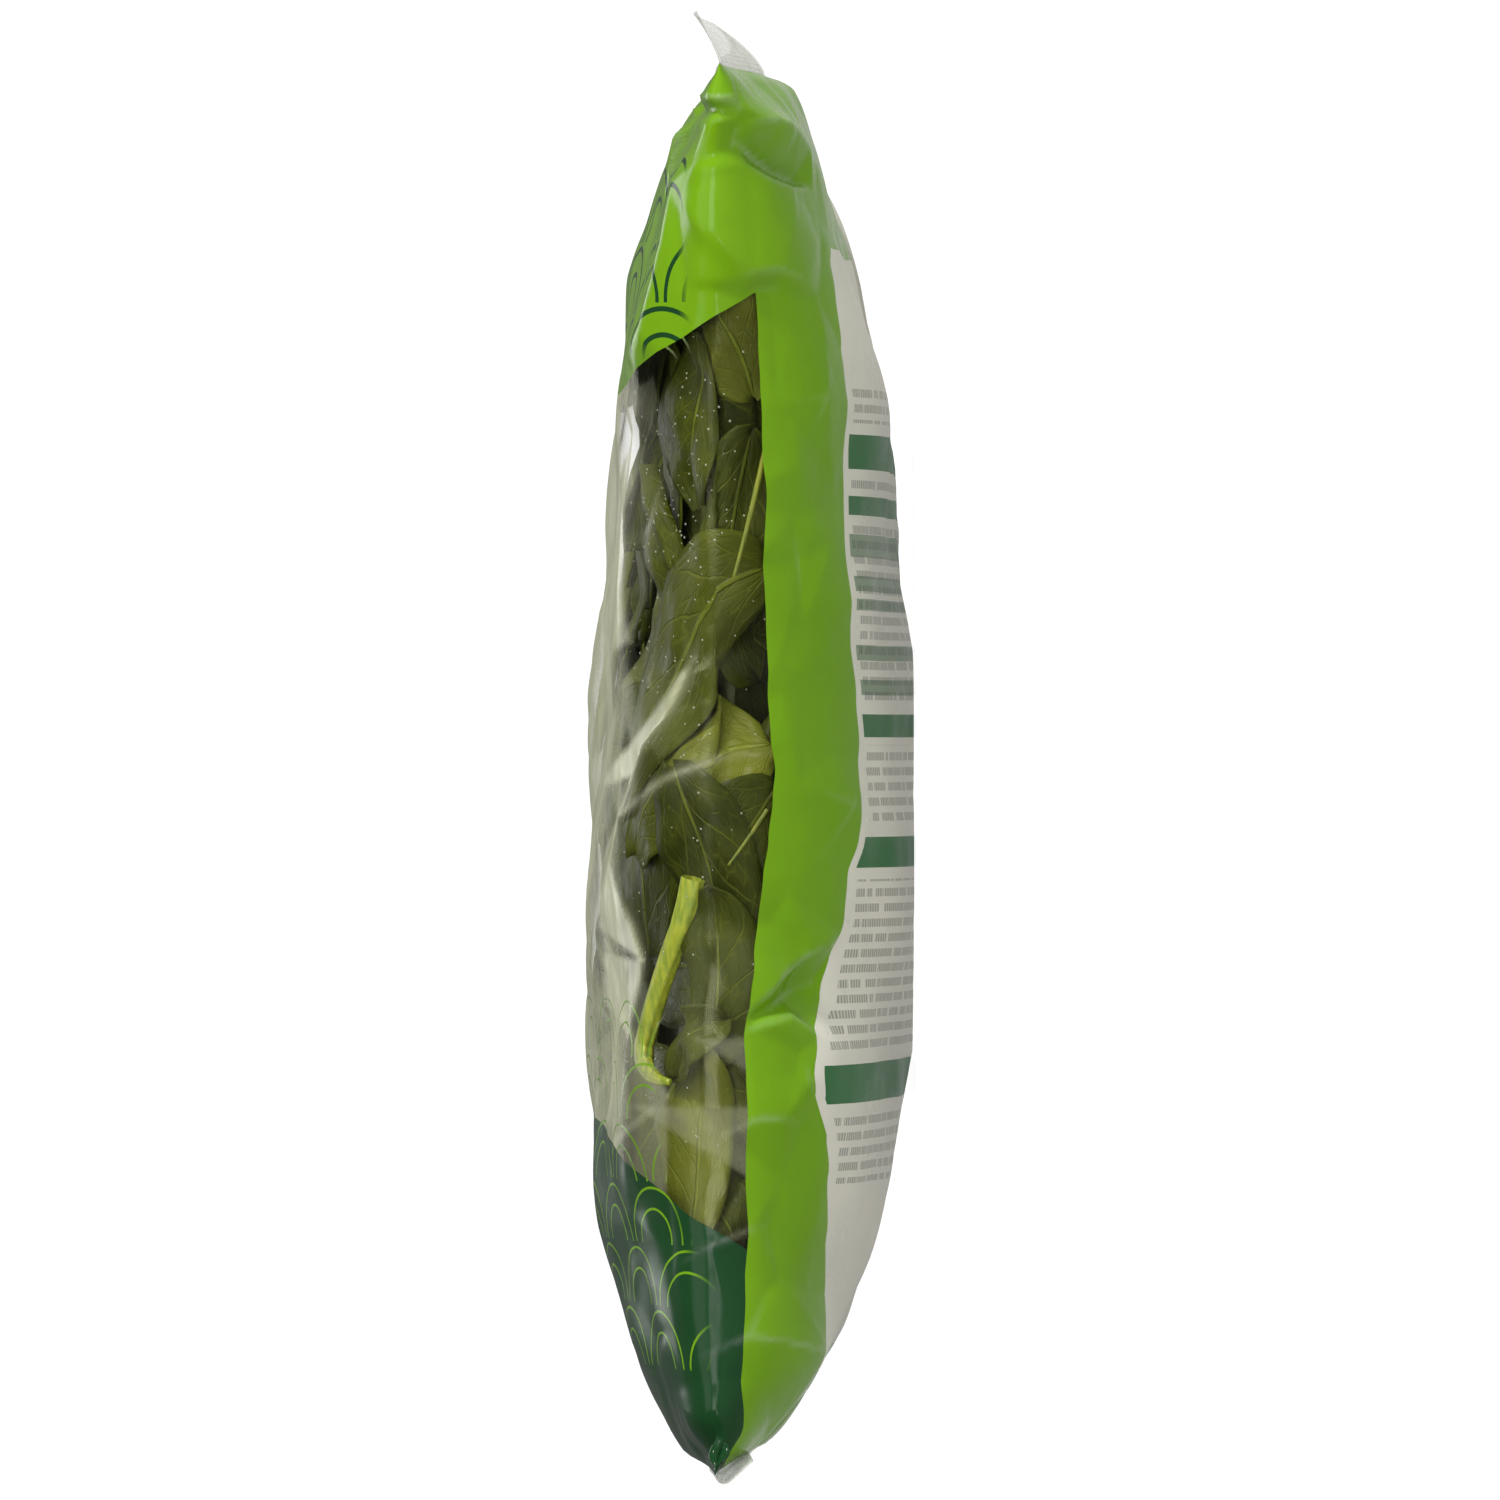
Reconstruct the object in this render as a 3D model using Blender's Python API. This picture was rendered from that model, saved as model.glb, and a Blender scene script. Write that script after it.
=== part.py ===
"""A sealed pillow bag of spinach leaves, lying on its back with its clear window up.

The bag is one closed solid: film and contents together, with both crimped ends.
+Y is the bag's top end, +Z its front, and the back rests on the plane z = 0.
The film is thought of as a tube that is FLAT_WIDTH wide when it is empty and flat.
Each cross-section keeps the tube's girth, so the bag draws in sideways where it is thick.
"""

import math

import bmesh
import bpy
import numpy as np

# Sizes, in metres
FLAT_WIDTH = 0.260
TOP_SEAL_Y = 0.1650
BOTTOM_SEAL_Y = -0.1747
CRIMP_LENGTH = 0.0125
CRIMP_THICKNESS = 0.0012
CURL_RADIUS, CURL_TURN = 0.0022, 2.3
SEAL_HEIGHT = 0.0490

# How each face swells: its height over the seals, where it is fullest, and towards the top and the bottom
# the power that sets how long it stays full and the root that sets how blunt it ends. The front dips at DIP_Y
FRONT = {"height": 0.0318, "fullest_y": -0.065, "powers": (3.2, 2.5), "roots": (0.69, 0.69), "dip": 0.0026}
BACK = {"height": 0.0500, "fullest_y": -0.032, "powers": (3.0, 2.2), "roots": (0.66, 0.57), "dip": 0.0}
DIP_Y, DIP_WIDTH = 0.052, 0.034
MIDDLE_SQUARENESS, END_SQUARENESS = 2.1, 3.6
FOLD_DEPTH = 1.3
INNER_FOLD_X, OUTER_FOLD_X = 0.085, 0.105

# Printed fields, as distances round the film from the middle of the front, and along the bag
BAND_START, BAND_END = 0.141, 0.182
DARK_FIELD_CENTRE_Y, DARK_FIELD_SIDE_Y = -0.090, -0.124
LIME_FIELD_CENTRE_Y, LIME_FIELD_SIDE_Y = 0.085, 0.110
BACK_PANEL_TOP_Y, BACK_PANEL_BOTTOM_Y = 0.122, -0.150

# Cells of the sheet, across one half of the film and along each printed field
FRONT_CELLS, SIDE_CELLS, BAND_CELLS, BACK_CELLS = 16, 2, 12, 8
ROW_CELLS = {"bottom_crimp": 6, "dark_field": 15, "window": 23, "lime_field": 18, "top_crimp": 3}

COLOURS = {
    "clear_crimp": ((0.68, 0.68, 0.62), 0.25),
    "leaves_under_film": ((0.115, 0.135, 0.030), 0.30),
    "lime_print": ((0.170, 0.360, 0.025), 0.30),
    "dark_green_print": ((0.022, 0.075, 0.024), 0.28),
    "white_print": ((0.62, 0.61, 0.54), 0.35),
}


def empty_the_scene():
    """Removes what is in the scene, so that only the bag is left."""
    for thing in list(bpy.data.objects):
        bpy.data.objects.remove(thing, do_unlink=True)


def swell(y, face):
    """How far a face stands from the seals' height at y."""
    towards_top = y > face["fullest_y"]
    seal = TOP_SEAL_Y if towards_top else BOTTOM_SEAL_Y
    share = min((y - face["fullest_y"]) / (seal - face["fullest_y"]), 1)
    power, root = face["powers"][not towards_top], face["roots"][not towards_top]
    return face["height"] * (1 - share**power) ** root - face["dip"] * bell(y - DIP_Y, DIP_WIDTH)


def half_section(y, half_width, angle):
    """The section's right half at y: angle 0 is the front's middle and pi the back's middle."""
    from_middle = min(abs(y - (TOP_SEAL_Y + BOTTOM_SEAL_Y) / 2) / (TOP_SEAL_Y - BOTTOM_SEAL_Y) * 2, 1)
    squareness = MIDDLE_SQUARENESS + (END_SQUARENESS - MIDDLE_SQUARENESS) * from_middle**2
    front = swell(y, FRONT) + CRIMP_THICKNESS / 2
    back = swell(y, BACK) + CRIMP_THICKNESS / 2
    height = np.where(angle < math.pi / 2, front, -back)
    across = np.clip(np.sin(angle), 0, 1)
    x = half_width * across
    z = height * np.sqrt(np.clip(1 - across**squareness, 0, 1))
    return x, z


def half_girth(y, half_width, angle):
    x, z = half_section(y, half_width, angle)
    return np.cumsum(np.hypot(np.diff(x), np.diff(z)))


def section_point(y, distance):
    """x and z of the film at y, at a distance round the film from the front's middle."""
    angle = np.linspace(0, math.pi, 241)
    low, high = 0.05, FLAT_WIDTH
    while high - low > 1e-6:
        half_width = (low + high) / 2
        if half_girth(y, half_width, angle)[-1] > FLAT_WIDTH:
            high = half_width
        else:
            low = half_width
    along = np.concatenate([[0], half_girth(y, half_width, angle)])
    x, z = half_section(y, half_width, angle)
    at = abs(distance) / FLAT_WIDTH * along[-1]
    return math.copysign(1, distance) * np.interp(at, along, x), np.interp(at, along, z)


def bell(distance, width):
    return math.exp(-((distance / width) ** 2))


def seal_line(x, y):
    """How far the bag's middle leaves SEAL_HEIGHT at x and y: the seals are wavy, and the top crimp curls."""
    top = -0.0105 * bell(x - 0.066, 0.042) + 0.0015 * math.sin(x * 30 - 0.9)
    bottom = 0.0022 * bell(x - 0.080, 0.030) - 0.0050 * bell(x + 0.020, 0.070)
    near_top = math.exp(-max(0.0, TOP_SEAL_Y - y) / 0.024)
    near_bottom = math.exp(-max(0.0, y - BOTTOM_SEAL_Y) / 0.024)
    beyond = max(0.0, (y - TOP_SEAL_Y) / CRIMP_LENGTH)
    curl = 0.0075 * bell(x - 0.118, 0.035) + 0.0085 * bell(x - 0.062, 0.042) - 0.0040 * bell(x + 0.030, 0.080)
    return top * near_top + bottom * near_bottom + curl * beyond**1.3


def crimp_place(beyond, layer):
    """y and z of the bottom crimp, past its seal by beyond and off its middle by layer: it curls under."""
    turn = min(beyond / CURL_RADIUS, CURL_TURN)
    straight = beyond - turn * CURL_RADIUS
    y = BOTTOM_SEAL_Y - CURL_RADIUS * math.sin(turn) - straight * math.cos(turn) - layer * math.sin(turn)
    z = CURL_RADIUS * (math.cos(turn) - 1) - straight * math.sin(turn) + layer * math.cos(turn)
    return y, z


def fold(y, z, start, end, height, width):
    """A straight fold in the side of the bag, from start to end as (y, z), raised or, below 0, sunk."""
    run_y, run_z = end[0] - start[0], end[1] - start[1]
    length = math.hypot(run_y, run_z)
    along = ((y - start[0]) * run_y + (z - start[1]) * run_z) / length**2
    off = abs((y - start[0]) * run_z - (z - start[1]) * run_y) / length
    past = max(0.0, -along, along - 1) * length
    swelling = 0.35 + 0.65 * math.sin(math.pi * min(max(along, 0), 1))
    return height * swelling * math.exp(-off / width) * math.exp(-past / width)


def dent(y, z, centre, length, width, turn, height):
    """A soft oval dent, or a puff where height is over 0, turned by degrees from +Y towards +Z."""
    turn = math.radians(turn)
    away_y, away_z = y - centre[0], z - centre[1]
    along = away_y * math.cos(turn) + away_z * math.sin(turn)
    off = away_z * math.cos(turn) - away_y * math.sin(turn)
    return height * math.exp(-((along / length) ** 2) - (off / width) ** 2)


def star(y, z, centre, size, rays, turn, height):
    """A pinched point with folds that run out from it."""
    away = math.hypot(y - centre[0], z - centre[1])
    angle = math.atan2(z - centre[1], y - centre[0]) - math.radians(turn)
    ridge = 1 - 2 * abs(math.sin(rays * angle / 2))
    return height * ridge * (away / size) * math.exp(1 - away / size)


def side_relief(y, z):
    """How far the folds of the side that faces +X stand out of the smooth bag, at y and z."""
    out = dent(y, z, (0.1590, 0.0510), 0.0085, 0.0034, 4, -0.0105)
    out += dent(y, z, (0.1550, 0.0460), 0.0050, 0.0045, 60, -0.0060)
    out += dent(y, z, (0.1480, 0.0345), 0.0055, 0.0125, -22, 0.0058)
    out += fold(y, z, (0.1530, 0.0450), (0.1385, 0.0260), -0.0048, 0.0030)
    out += fold(y, z, (0.1520, 0.0560), (0.0960, 0.0690), 0.0030, 0.0036)
    out += fold(y, z, (0.1640, 0.0490), (0.1545, 0.0490), 0.0024, 0.0022)
    out += fold(y, z, (0.1100, 0.0360), (0.1040, 0.0195), 0.0024, 0.0042)
    out += star(y, z, (-0.0129, 0.0165), 0.0110, 5, 20, 0.0022)
    out += fold(y, z, (-0.0120, 0.0175), (-0.0030, 0.0360), 0.0022, 0.0034)
    out += fold(y, z, (-0.0150, 0.0190), (-0.0420, 0.0350), 0.0020, 0.0038)
    out += dent(y, z, (-0.0560, 0.0260), 0.0130, 0.0075, 40, -0.0042)
    out += fold(y, z, (-0.0680, 0.0420), (-0.0460, 0.0200), 0.0040, 0.0040)
    out += fold(y, z, (-0.0680, 0.0420), (-0.0740, 0.0230), 0.0034, 0.0038)
    out += fold(y, z, (-0.0910, 0.0360), (-0.0980, 0.0570), 0.0026, 0.0038)
    out += star(y, z, (-0.1466, 0.0261), 0.0115, 5, 65, 0.0024)
    out += fold(y, z, (-0.1510, 0.0540), (-0.1370, 0.0380), 0.0030, 0.0034)
    out += dent(y, z, (-0.1680, 0.0490), 0.0050, 0.0036, 0, -0.0060)
    out += fold(y, z, (0.0180, 0.0550), (-0.0170, 0.0720), 0.0034, 0.0036)
    out += fold(y, z, (-0.0240, 0.0740), (0.0090, 0.0510), -0.0028, 0.0042)
    out += fold(y, z, (-0.0300, 0.0690), (-0.0700, 0.0650), 0.0026, 0.0040)
    return out


def soft_waves(x, y):
    """The slack film's broad waves, where the leaves press on it."""
    return 0.0010 * math.sin(x * 71 + 1.1) * math.sin(y * 63 + 0.4) + 0.0008 * math.sin(x * 38 - y * 97 + 2.0)


def relief(x, y, z):
    """How far the film stands out of the smooth bag. The far side has the same folds, the other way up."""
    from_seal = min(TOP_SEAL_Y - y, y - BOTTOM_SEAL_Y)
    if from_seal <= 0:
        return 0.0
    on_side = min(max((abs(x) - INNER_FOLD_X) / (OUTER_FOLD_X - INNER_FOLD_X), 0), 1)
    lying = y if x > 0 else -0.97 * y
    return on_side * FOLD_DEPTH * side_relief(lying, z) + min(from_seal / 0.010, 1) * soft_waves(x, y)


def column_distances():
    """Distances round half of the film, with columns at the flat film's edge and on the band's edges."""
    front = FLAT_WIDTH / 2 * (1 - (1 - np.linspace(0, 1, FRONT_CELLS + 1)) ** 1.35)
    side = np.linspace(FLAT_WIDTH / 2, BAND_START, SIDE_CELLS + 1)
    band = np.linspace(BAND_START, BAND_END, BAND_CELLS + 1)
    back = BAND_END + (FLAT_WIDTH - BAND_END) * np.linspace(0, 1, BACK_CELLS + 1) ** 1.2
    return np.concatenate([front, side[1:], band[1:], back[1:]])


def field_edges(distance):
    """Where each printed field starts along the bag, from the bottom up, at a distance round the film."""
    across = min(distance / BAND_START, 1)
    dark_top = DARK_FIELD_CENTRE_Y + (DARK_FIELD_SIDE_Y - DARK_FIELD_CENTRE_Y) * across**2
    lime_bottom = LIME_FIELD_CENTRE_Y + (LIME_FIELD_SIDE_Y - LIME_FIELD_CENTRE_Y) * across**3
    on_back = min(max((distance - BAND_START) / (BAND_END - BAND_START), 0), 1)
    dark_top += (BACK_PANEL_BOTTOM_Y - dark_top) * on_back
    lime_bottom += (BACK_PANEL_TOP_Y - lime_bottom) * on_back
    bottom_end, top_end = BOTTOM_SEAL_Y - CRIMP_LENGTH, TOP_SEAL_Y + CRIMP_LENGTH
    return [bottom_end, BOTTOM_SEAL_Y, dark_top, lime_bottom, TOP_SEAL_Y, top_end]


def row_places():
    """Each row's field and its share of that field. Rows crowd towards both ends, where the folds are."""
    places = [(0, 0.0)]
    for field, cells in enumerate(ROW_CELLS.values()):
        share = np.linspace(0, 1, cells + 1)[1:]
        if field == 1:
            share = share**1.25
        if field == 3:
            share = 1 - (1 - share) ** 1.25
        places += [(field, float(one)) for one in share]
    return places


def film_sheet():
    """The flat film as a grid: a column for each distance round the bag, a row for each place along it."""
    half = column_distances()
    distances = np.concatenate([-half[:0:-1], half])
    places = row_places()
    mesh = bmesh.new()
    bmesh.ops.create_grid(mesh, x_segments=len(distances) - 1, y_segments=len(places) - 1, size=0.5)
    for vertex in mesh.verts:
        distance = distances[round((vertex.co.x + 0.5) * (len(distances) - 1))]
        field, share = places[round((vertex.co.y + 0.5) * (len(places) - 1))]
        edges = field_edges(abs(distance))
        vertex.co.x = distance
        vertex.co.y = edges[field] + share * (edges[field + 1] - edges[field])
    return mesh


def paint(mesh, slots):
    """Gives each cell of the flat sheet the colour of its printed field."""
    for face in mesh.faces:
        middle = face.calc_center_median()
        distance = abs(middle.x)
        edges = field_edges(distance)
        if middle.y < edges[1] or middle.y > edges[4]:
            field = "clear_crimp"
        elif BAND_START < distance < BAND_END or middle.y > edges[3]:
            field = "lime_print"
        elif distance > BAND_END:
            field = "white_print" if middle.y > edges[2] else "lime_print"
        else:
            field = "leaves_under_film" if middle.y > edges[2] else "dark_green_print"
        face.material_index = slots.index(field)
        face.smooth = True


def fill_the_bag(mesh):
    """Moves the flat sheet to the filled bag's smooth form, closes it, and raises its folds."""
    for vertex in mesh.verts:
        y = vertex.co.y
        x, z = section_point(max(y, BOTTOM_SEAL_Y), vertex.co.x)
        if y < BOTTOM_SEAL_Y:
            y, z = crimp_place(BOTTOM_SEAL_Y - y, z)
        vertex.co = (x, y, SEAL_HEIGHT + seal_line(x, y) + z)
    bmesh.ops.remove_doubles(mesh, verts=mesh.verts, dist=1e-5)
    ends = [edge for edge in mesh.edges if edge.is_boundary]
    bmesh.ops.holes_fill(mesh, edges=ends, sides=0)
    bmesh.ops.recalc_face_normals(mesh, faces=mesh.faces)
    mesh.normal_update()
    raised = [vertex.co + vertex.normal * relief(*vertex.co) for vertex in mesh.verts]
    for vertex, place in zip(mesh.verts, raised):
        vertex.co = (place.x, place.y, max(place.z, 0.0))


def plastic(name, colour, roughness):
    material = bpy.data.materials.new(name)
    material.use_nodes = True
    shader = material.node_tree.nodes["Principled BSDF"]
    shader.inputs["Base Color"].default_value = (*colour, 1)
    shader.inputs["Roughness"].default_value = roughness
    shader.inputs["Metallic"].default_value = 0.0
    return material


def make_bag(collection):
    mesh = film_sheet()
    paint(mesh, list(COLOURS))
    fill_the_bag(mesh)
    data = bpy.data.meshes.new("bag")
    mesh.to_mesh(data)
    mesh.free()
    for name, (colour, roughness) in COLOURS.items():
        data.materials.append(plastic(name, colour, roughness))
    bag = bpy.data.objects.new("bag", data)
    collection.objects.link(bag)


def main():
    empty_the_scene()
    collection = bpy.data.collections.new("bag_of_spinach")
    bpy.context.scene.collection.children.link(collection)
    make_bag(collection)


main()
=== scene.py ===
"""Dresses the bag of spinach: printed film with a clear window, leaves under it, and a plain white studio.

Places on the film are given by two lengths: the distance round the bag from the middle of its front, which is
over 0 on the side that faces +X, and y along the bag. Both are in metres.
"""

import math
import random

import bmesh
import bpy
import numpy as np
from mathutils import Matrix, Vector, geometry


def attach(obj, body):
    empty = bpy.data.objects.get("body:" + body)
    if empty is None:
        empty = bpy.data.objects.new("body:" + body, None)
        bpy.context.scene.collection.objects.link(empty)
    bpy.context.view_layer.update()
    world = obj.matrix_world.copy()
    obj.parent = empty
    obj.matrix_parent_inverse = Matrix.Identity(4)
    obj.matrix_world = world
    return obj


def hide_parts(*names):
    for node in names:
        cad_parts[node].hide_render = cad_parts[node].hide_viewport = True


bl_info = {
    "name": "Bag of Spinach",
    "version": (1, 0, 0),
    "blender": (4, 5, 0),
    "location": "3D View > Sidebar > Spinach",
    "description": "Makes a sealed pillow bag of spinach leaves, with a clear window and printed fields",
    "category": "Object",
}

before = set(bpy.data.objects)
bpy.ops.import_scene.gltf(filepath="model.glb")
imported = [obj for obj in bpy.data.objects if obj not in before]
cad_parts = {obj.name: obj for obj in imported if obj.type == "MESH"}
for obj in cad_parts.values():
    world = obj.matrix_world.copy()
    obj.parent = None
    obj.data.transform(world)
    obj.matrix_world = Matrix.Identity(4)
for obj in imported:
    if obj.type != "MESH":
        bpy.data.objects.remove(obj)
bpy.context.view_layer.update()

# The filled bag's sizes, as in the solid but for a slightly slimmer back
FLAT_WIDTH = 0.260
TOP_SEAL_Y = 0.1650
BOTTOM_SEAL_Y = -0.1747
SEALED_LENGTH = TOP_SEAL_Y - BOTTOM_SEAL_Y
CRIMP_LENGTH = 0.0125
FILM_GAP = 0.0005
CURL_RADIUS, CURL_TURN = 0.0022, 2.3
SEAL_HEIGHT = 0.0490
FRONT = {"height": 0.0318, "fullest_y": -0.065, "powers": (3.2, 2.6), "roots": (0.69, 0.78), "dip": 0.0026}
BACK = {"height": 0.0500, "fullest_y": -0.032, "powers": (3.0, 2.15), "roots": (0.66, 0.57), "dip": 0.0030}
DIP_Y, DIP_WIDTH = 0.052, 0.034
MIDDLE_SQUARENESS, END_SQUARENESS = 2.1, 3.6
FOLD_DEPTH = 1.3
INNER_FOLD_X, OUTER_FOLD_X = 0.085, 0.105

# The print. The band's two edges wander along the bag: each is a list of y and distance round the film
WINDOW_EDGE = (
    (-0.175, 0.139), (-0.166, 0.1375), (-0.1516, 0.1338), (-0.142, 0.1333), (-0.1323, 0.1338),
    (-0.1179, 0.134), (-0.1035, 0.133), (-0.0891, 0.1325), (-0.0795, 0.132), (-0.0698, 0.1315),
    (-0.0602, 0.133), (-0.0506, 0.1342), (-0.041, 0.1362), (-0.0314, 0.137), (-0.0218, 0.1385),
    (-0.0121, 0.1397), (-0.0049, 0.1405), (0.0023, 0.1392), (0.0167, 0.1382), (0.0311, 0.1377),
    (0.0456, 0.1372), (0.06, 0.1387), (0.0696, 0.138), (0.0792, 0.138), (0.0888, 0.1375), (0.0984, 0.1367),
    (0.1081, 0.1367), (0.165, 0.1365),
)
PANEL_EDGE = (
    (-0.175, 0.19), (-0.1468, 0.1705), (-0.142, 0.1695), (-0.1323, 0.1705), (-0.1179, 0.1648),
    (-0.1035, 0.16), (-0.0939, 0.1568), (-0.0891, 0.1537), (-0.0843, 0.1502), (-0.0795, 0.1497),
    (-0.0698, 0.1525), (-0.0602, 0.1605), (-0.0506, 0.1623), (-0.041, 0.1665), (-0.0314, 0.1673),
    (-0.0218, 0.1708), (-0.0121, 0.1723), (0.0023, 0.1748), (0.0119, 0.173), (0.0263, 0.1693),
    (0.0456, 0.1703), (0.0648, 0.175), (0.0792, 0.1738), (0.0888, 0.1718), (0.0984, 0.1698),
    (0.1081, 0.168), (0.1177, 0.1703), (0.1249, 0.176), (0.142, 0.178), (0.165, 0.178),
)
LIME_FIELD_CENTRE_Y, LIME_FIELD_SIDE_Y, LIME_FIELD_POWER = 0.085, 0.110, 3.2
DARK_FIELD_CENTRE_Y, DARK_FIELD_SIDE_Y, DARK_FIELD_POWER = -0.090, -0.1227, 3.0
PANEL_TOP_Y, PANEL_BOTTOM_Y = 0.122, -0.150

# How deep the leaves lie under the film
PILE_DEPTH = 0.015
FILM_CLEARANCE = 0.0011
LEAF_THICKNESS = 0.00045
LEAVES_BOTTOM_Y, LEAVES_TOP_Y = -0.155, 0.140


def bell(distance, width):
    return np.exp(-((distance / width) ** 2))


def swell(y, face):
    """How far a face stands from the seals' height at y."""
    to_top = np.clip((y - face["fullest_y"]) / (TOP_SEAL_Y - face["fullest_y"]), 0, 1)
    to_bottom = np.clip((face["fullest_y"] - y) / (face["fullest_y"] - BOTTOM_SEAL_Y), 0, 1)
    top = (1 - to_top ** face["powers"][0]) ** face["roots"][0]
    bottom = (1 - to_bottom ** face["powers"][1]) ** face["roots"][1]
    full = face["height"] * np.where(y > face["fullest_y"], top, bottom)
    return full - face["dip"] * bell(y - DIP_Y, DIP_WIDTH)


def section_tables(rows=341, steps=521):
    """x and z of the film by rows along the bag, at even distances round half of it. The girth is kept."""
    y = np.linspace(BOTTOM_SEAL_Y, TOP_SEAL_Y, rows)[:, None]
    angle = np.linspace(0, math.pi, 2 * steps)[None, :]
    middle = (TOP_SEAL_Y + BOTTOM_SEAL_Y) / 2
    from_middle = np.clip(np.abs(y - middle) / SEALED_LENGTH * 2, 0, 1)
    squareness = MIDDLE_SQUARENESS + (END_SQUARENESS - MIDDLE_SQUARENESS) * from_middle**2
    across = np.clip(np.sin(angle), 0, 1)
    height = np.where(angle < math.pi / 2, swell(y, FRONT) + FILM_GAP / 2, -swell(y, BACK) - FILM_GAP / 2)
    z = height * np.sqrt(np.clip(1 - across**squareness, 0, 1))
    low, high = np.full((rows, 1), 0.05), np.full((rows, 1), FLAT_WIDTH)
    for _ in range(24):
        half_width = (low + high) / 2
        girth = np.hypot(np.diff(half_width * across), np.diff(z)).sum(axis=1, keepdims=True)
        high = np.where(girth > FLAT_WIDTH, half_width, high)
        low = np.where(girth > FLAT_WIDTH, low, half_width)
    x = low * across
    walked = np.cumsum(np.hypot(np.diff(x), np.diff(z)), axis=1)
    walked = np.concatenate([np.zeros((rows, 1)), walked], axis=1)
    shares = np.linspace(0, 1, steps)
    table_x = np.array([np.interp(shares * one[-1], one, row) for one, row in zip(walked, x)])
    table_z = np.array([np.interp(shares * one[-1], one, row) for one, row in zip(walked, z)])
    return table_x, table_z


SECTION_X, SECTION_Z = section_tables()


def sealed_in(y):
    """y kept between the two seals."""
    return np.clip(y, BOTTOM_SEAL_Y, TOP_SEAL_Y)


def look_up(table, row, column):
    """Reads a table between its cells."""
    row = np.clip(row, 0, table.shape[0] - 1.001)
    column = np.clip(column, 0, table.shape[1] - 1.001)
    r, c = row.astype(int), column.astype(int)
    down, right = row - r, column - c
    upper = table[r, c] * (1 - right) + table[r, c + 1] * right
    lower = table[r + 1, c] * (1 - right) + table[r + 1, c + 1] * right
    return upper * (1 - down) + lower * down


# How far from a seal its waves still show, and those at the very crimp
SEAL_WAVE_REACH, CRIMP_WAVE_REACH = 0.024, 0.010


def seal_line(x, y):
    """How far the bag's middle leaves SEAL_HEIGHT at x and y: the seals are wavy, and the top crimp curls."""
    top = -0.0105 * bell(x - 0.066, 0.042) + 0.0015 * np.sin(x * 30 - 0.9)
    bottom = 0.0022 * bell(x - 0.080, 0.030) - 0.0050 * bell(x + 0.020, 0.070)
    near_top = np.exp(-np.maximum(0, TOP_SEAL_Y - y) / SEAL_WAVE_REACH)
    near_bottom = np.exp(-np.maximum(0, y - BOTTOM_SEAL_Y) / SEAL_WAVE_REACH)
    at_crimp = np.exp(-np.maximum(0, TOP_SEAL_Y - y) / CRIMP_WAVE_REACH)
    beyond = np.maximum(0, (y - TOP_SEAL_Y) / CRIMP_LENGTH)
    curl = 0.0052 * bell(x - 0.118, 0.035) * beyond**1.1 + 0.0122 * bell(x - 0.064, 0.040) * beyond**1.6
    curl = curl - 0.0040 * bell(x + 0.030, 0.080) * beyond**1.3
    spread_out = 0.0018 * bell(x + 0.062, 0.030) - 0.0026 * bell(x - 0.066, 0.034)
    return top * near_top + spread_out * at_crimp + bottom * near_bottom + curl


def smooth_places(distance, y):
    """The filled bag's smooth surface, with no folds, between its seals."""
    distance, y = np.broadcast_arrays(np.asarray(distance, float), np.asarray(y, float))
    row = (y - BOTTOM_SEAL_Y) / SEALED_LENGTH * (SECTION_X.shape[0] - 1)
    column = np.abs(distance) / FLAT_WIDTH * (SECTION_X.shape[1] - 1)
    x = np.sign(distance) * look_up(SECTION_X, row, column)
    z = SEAL_HEIGHT + seal_line(x, y) + look_up(SECTION_Z, row, column)
    return np.stack([x, sealed_in(y), z], axis=-1)


def outward(distance, y, step=0.001):
    """The smooth surface's outward normals."""
    y = np.clip(y, BOTTOM_SEAL_Y + step, TOP_SEAL_Y - step)
    distance = np.clip(distance, step - FLAT_WIDTH, FLAT_WIDTH - step)
    round_it = smooth_places(distance + step, y) - smooth_places(distance - step, y)
    along_it = smooth_places(distance, y + step) - smooth_places(distance, y - step)
    normal = np.cross(round_it, along_it)
    return normal / np.maximum(np.linalg.norm(normal, axis=-1, keepdims=True), 1e-12)


def fold(y, z, start, end, height, width):
    """A straight fold in the side of the bag, from start to end as (y, z), raised or, below 0, sunk."""
    run_y, run_z = end[0] - start[0], end[1] - start[1]
    length = math.hypot(run_y, run_z)
    along = ((y - start[0]) * run_y + (z - start[1]) * run_z) / length**2
    off = np.abs((y - start[0]) * run_z - (z - start[1]) * run_y) / length
    past = np.maximum(0, np.maximum(-along, along - 1)) * length
    swelling = 0.35 + 0.65 * np.sin(math.pi * np.clip(along, 0, 1))
    return height * swelling * np.exp(-off / width) * np.exp(-past / width)


def dent(y, z, centre, length, width, turn, height):
    """A soft oval dent, or a puff where height is over 0, turned by degrees from +Y towards +Z."""
    turn = math.radians(turn)
    away_y, away_z = y - centre[0], z - centre[1]
    along = away_y * math.cos(turn) + away_z * math.sin(turn)
    off = away_z * math.cos(turn) - away_y * math.sin(turn)
    return height * np.exp(-((along / length) ** 2) - (off / width) ** 2)


def side_relief(y, z):
    """How far the broad folds of the side that faces +X stand out of the smooth bag, at y and z."""
    out = dent(y, z, (0.1480, 0.0345), 0.0055, 0.0125, -22, 0.0030)
    out += dent(y, z, (-0.0560, 0.0260), 0.0130, 0.0075, 40, -0.0030)
    out += dent(y, z, (-0.1680, 0.0490), 0.0050, 0.0036, 0, -0.0060)
    out += fold(y, z, (0.0180, 0.0550), (-0.0170, 0.0720), 0.0016, 0.0036)
    return out


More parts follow.
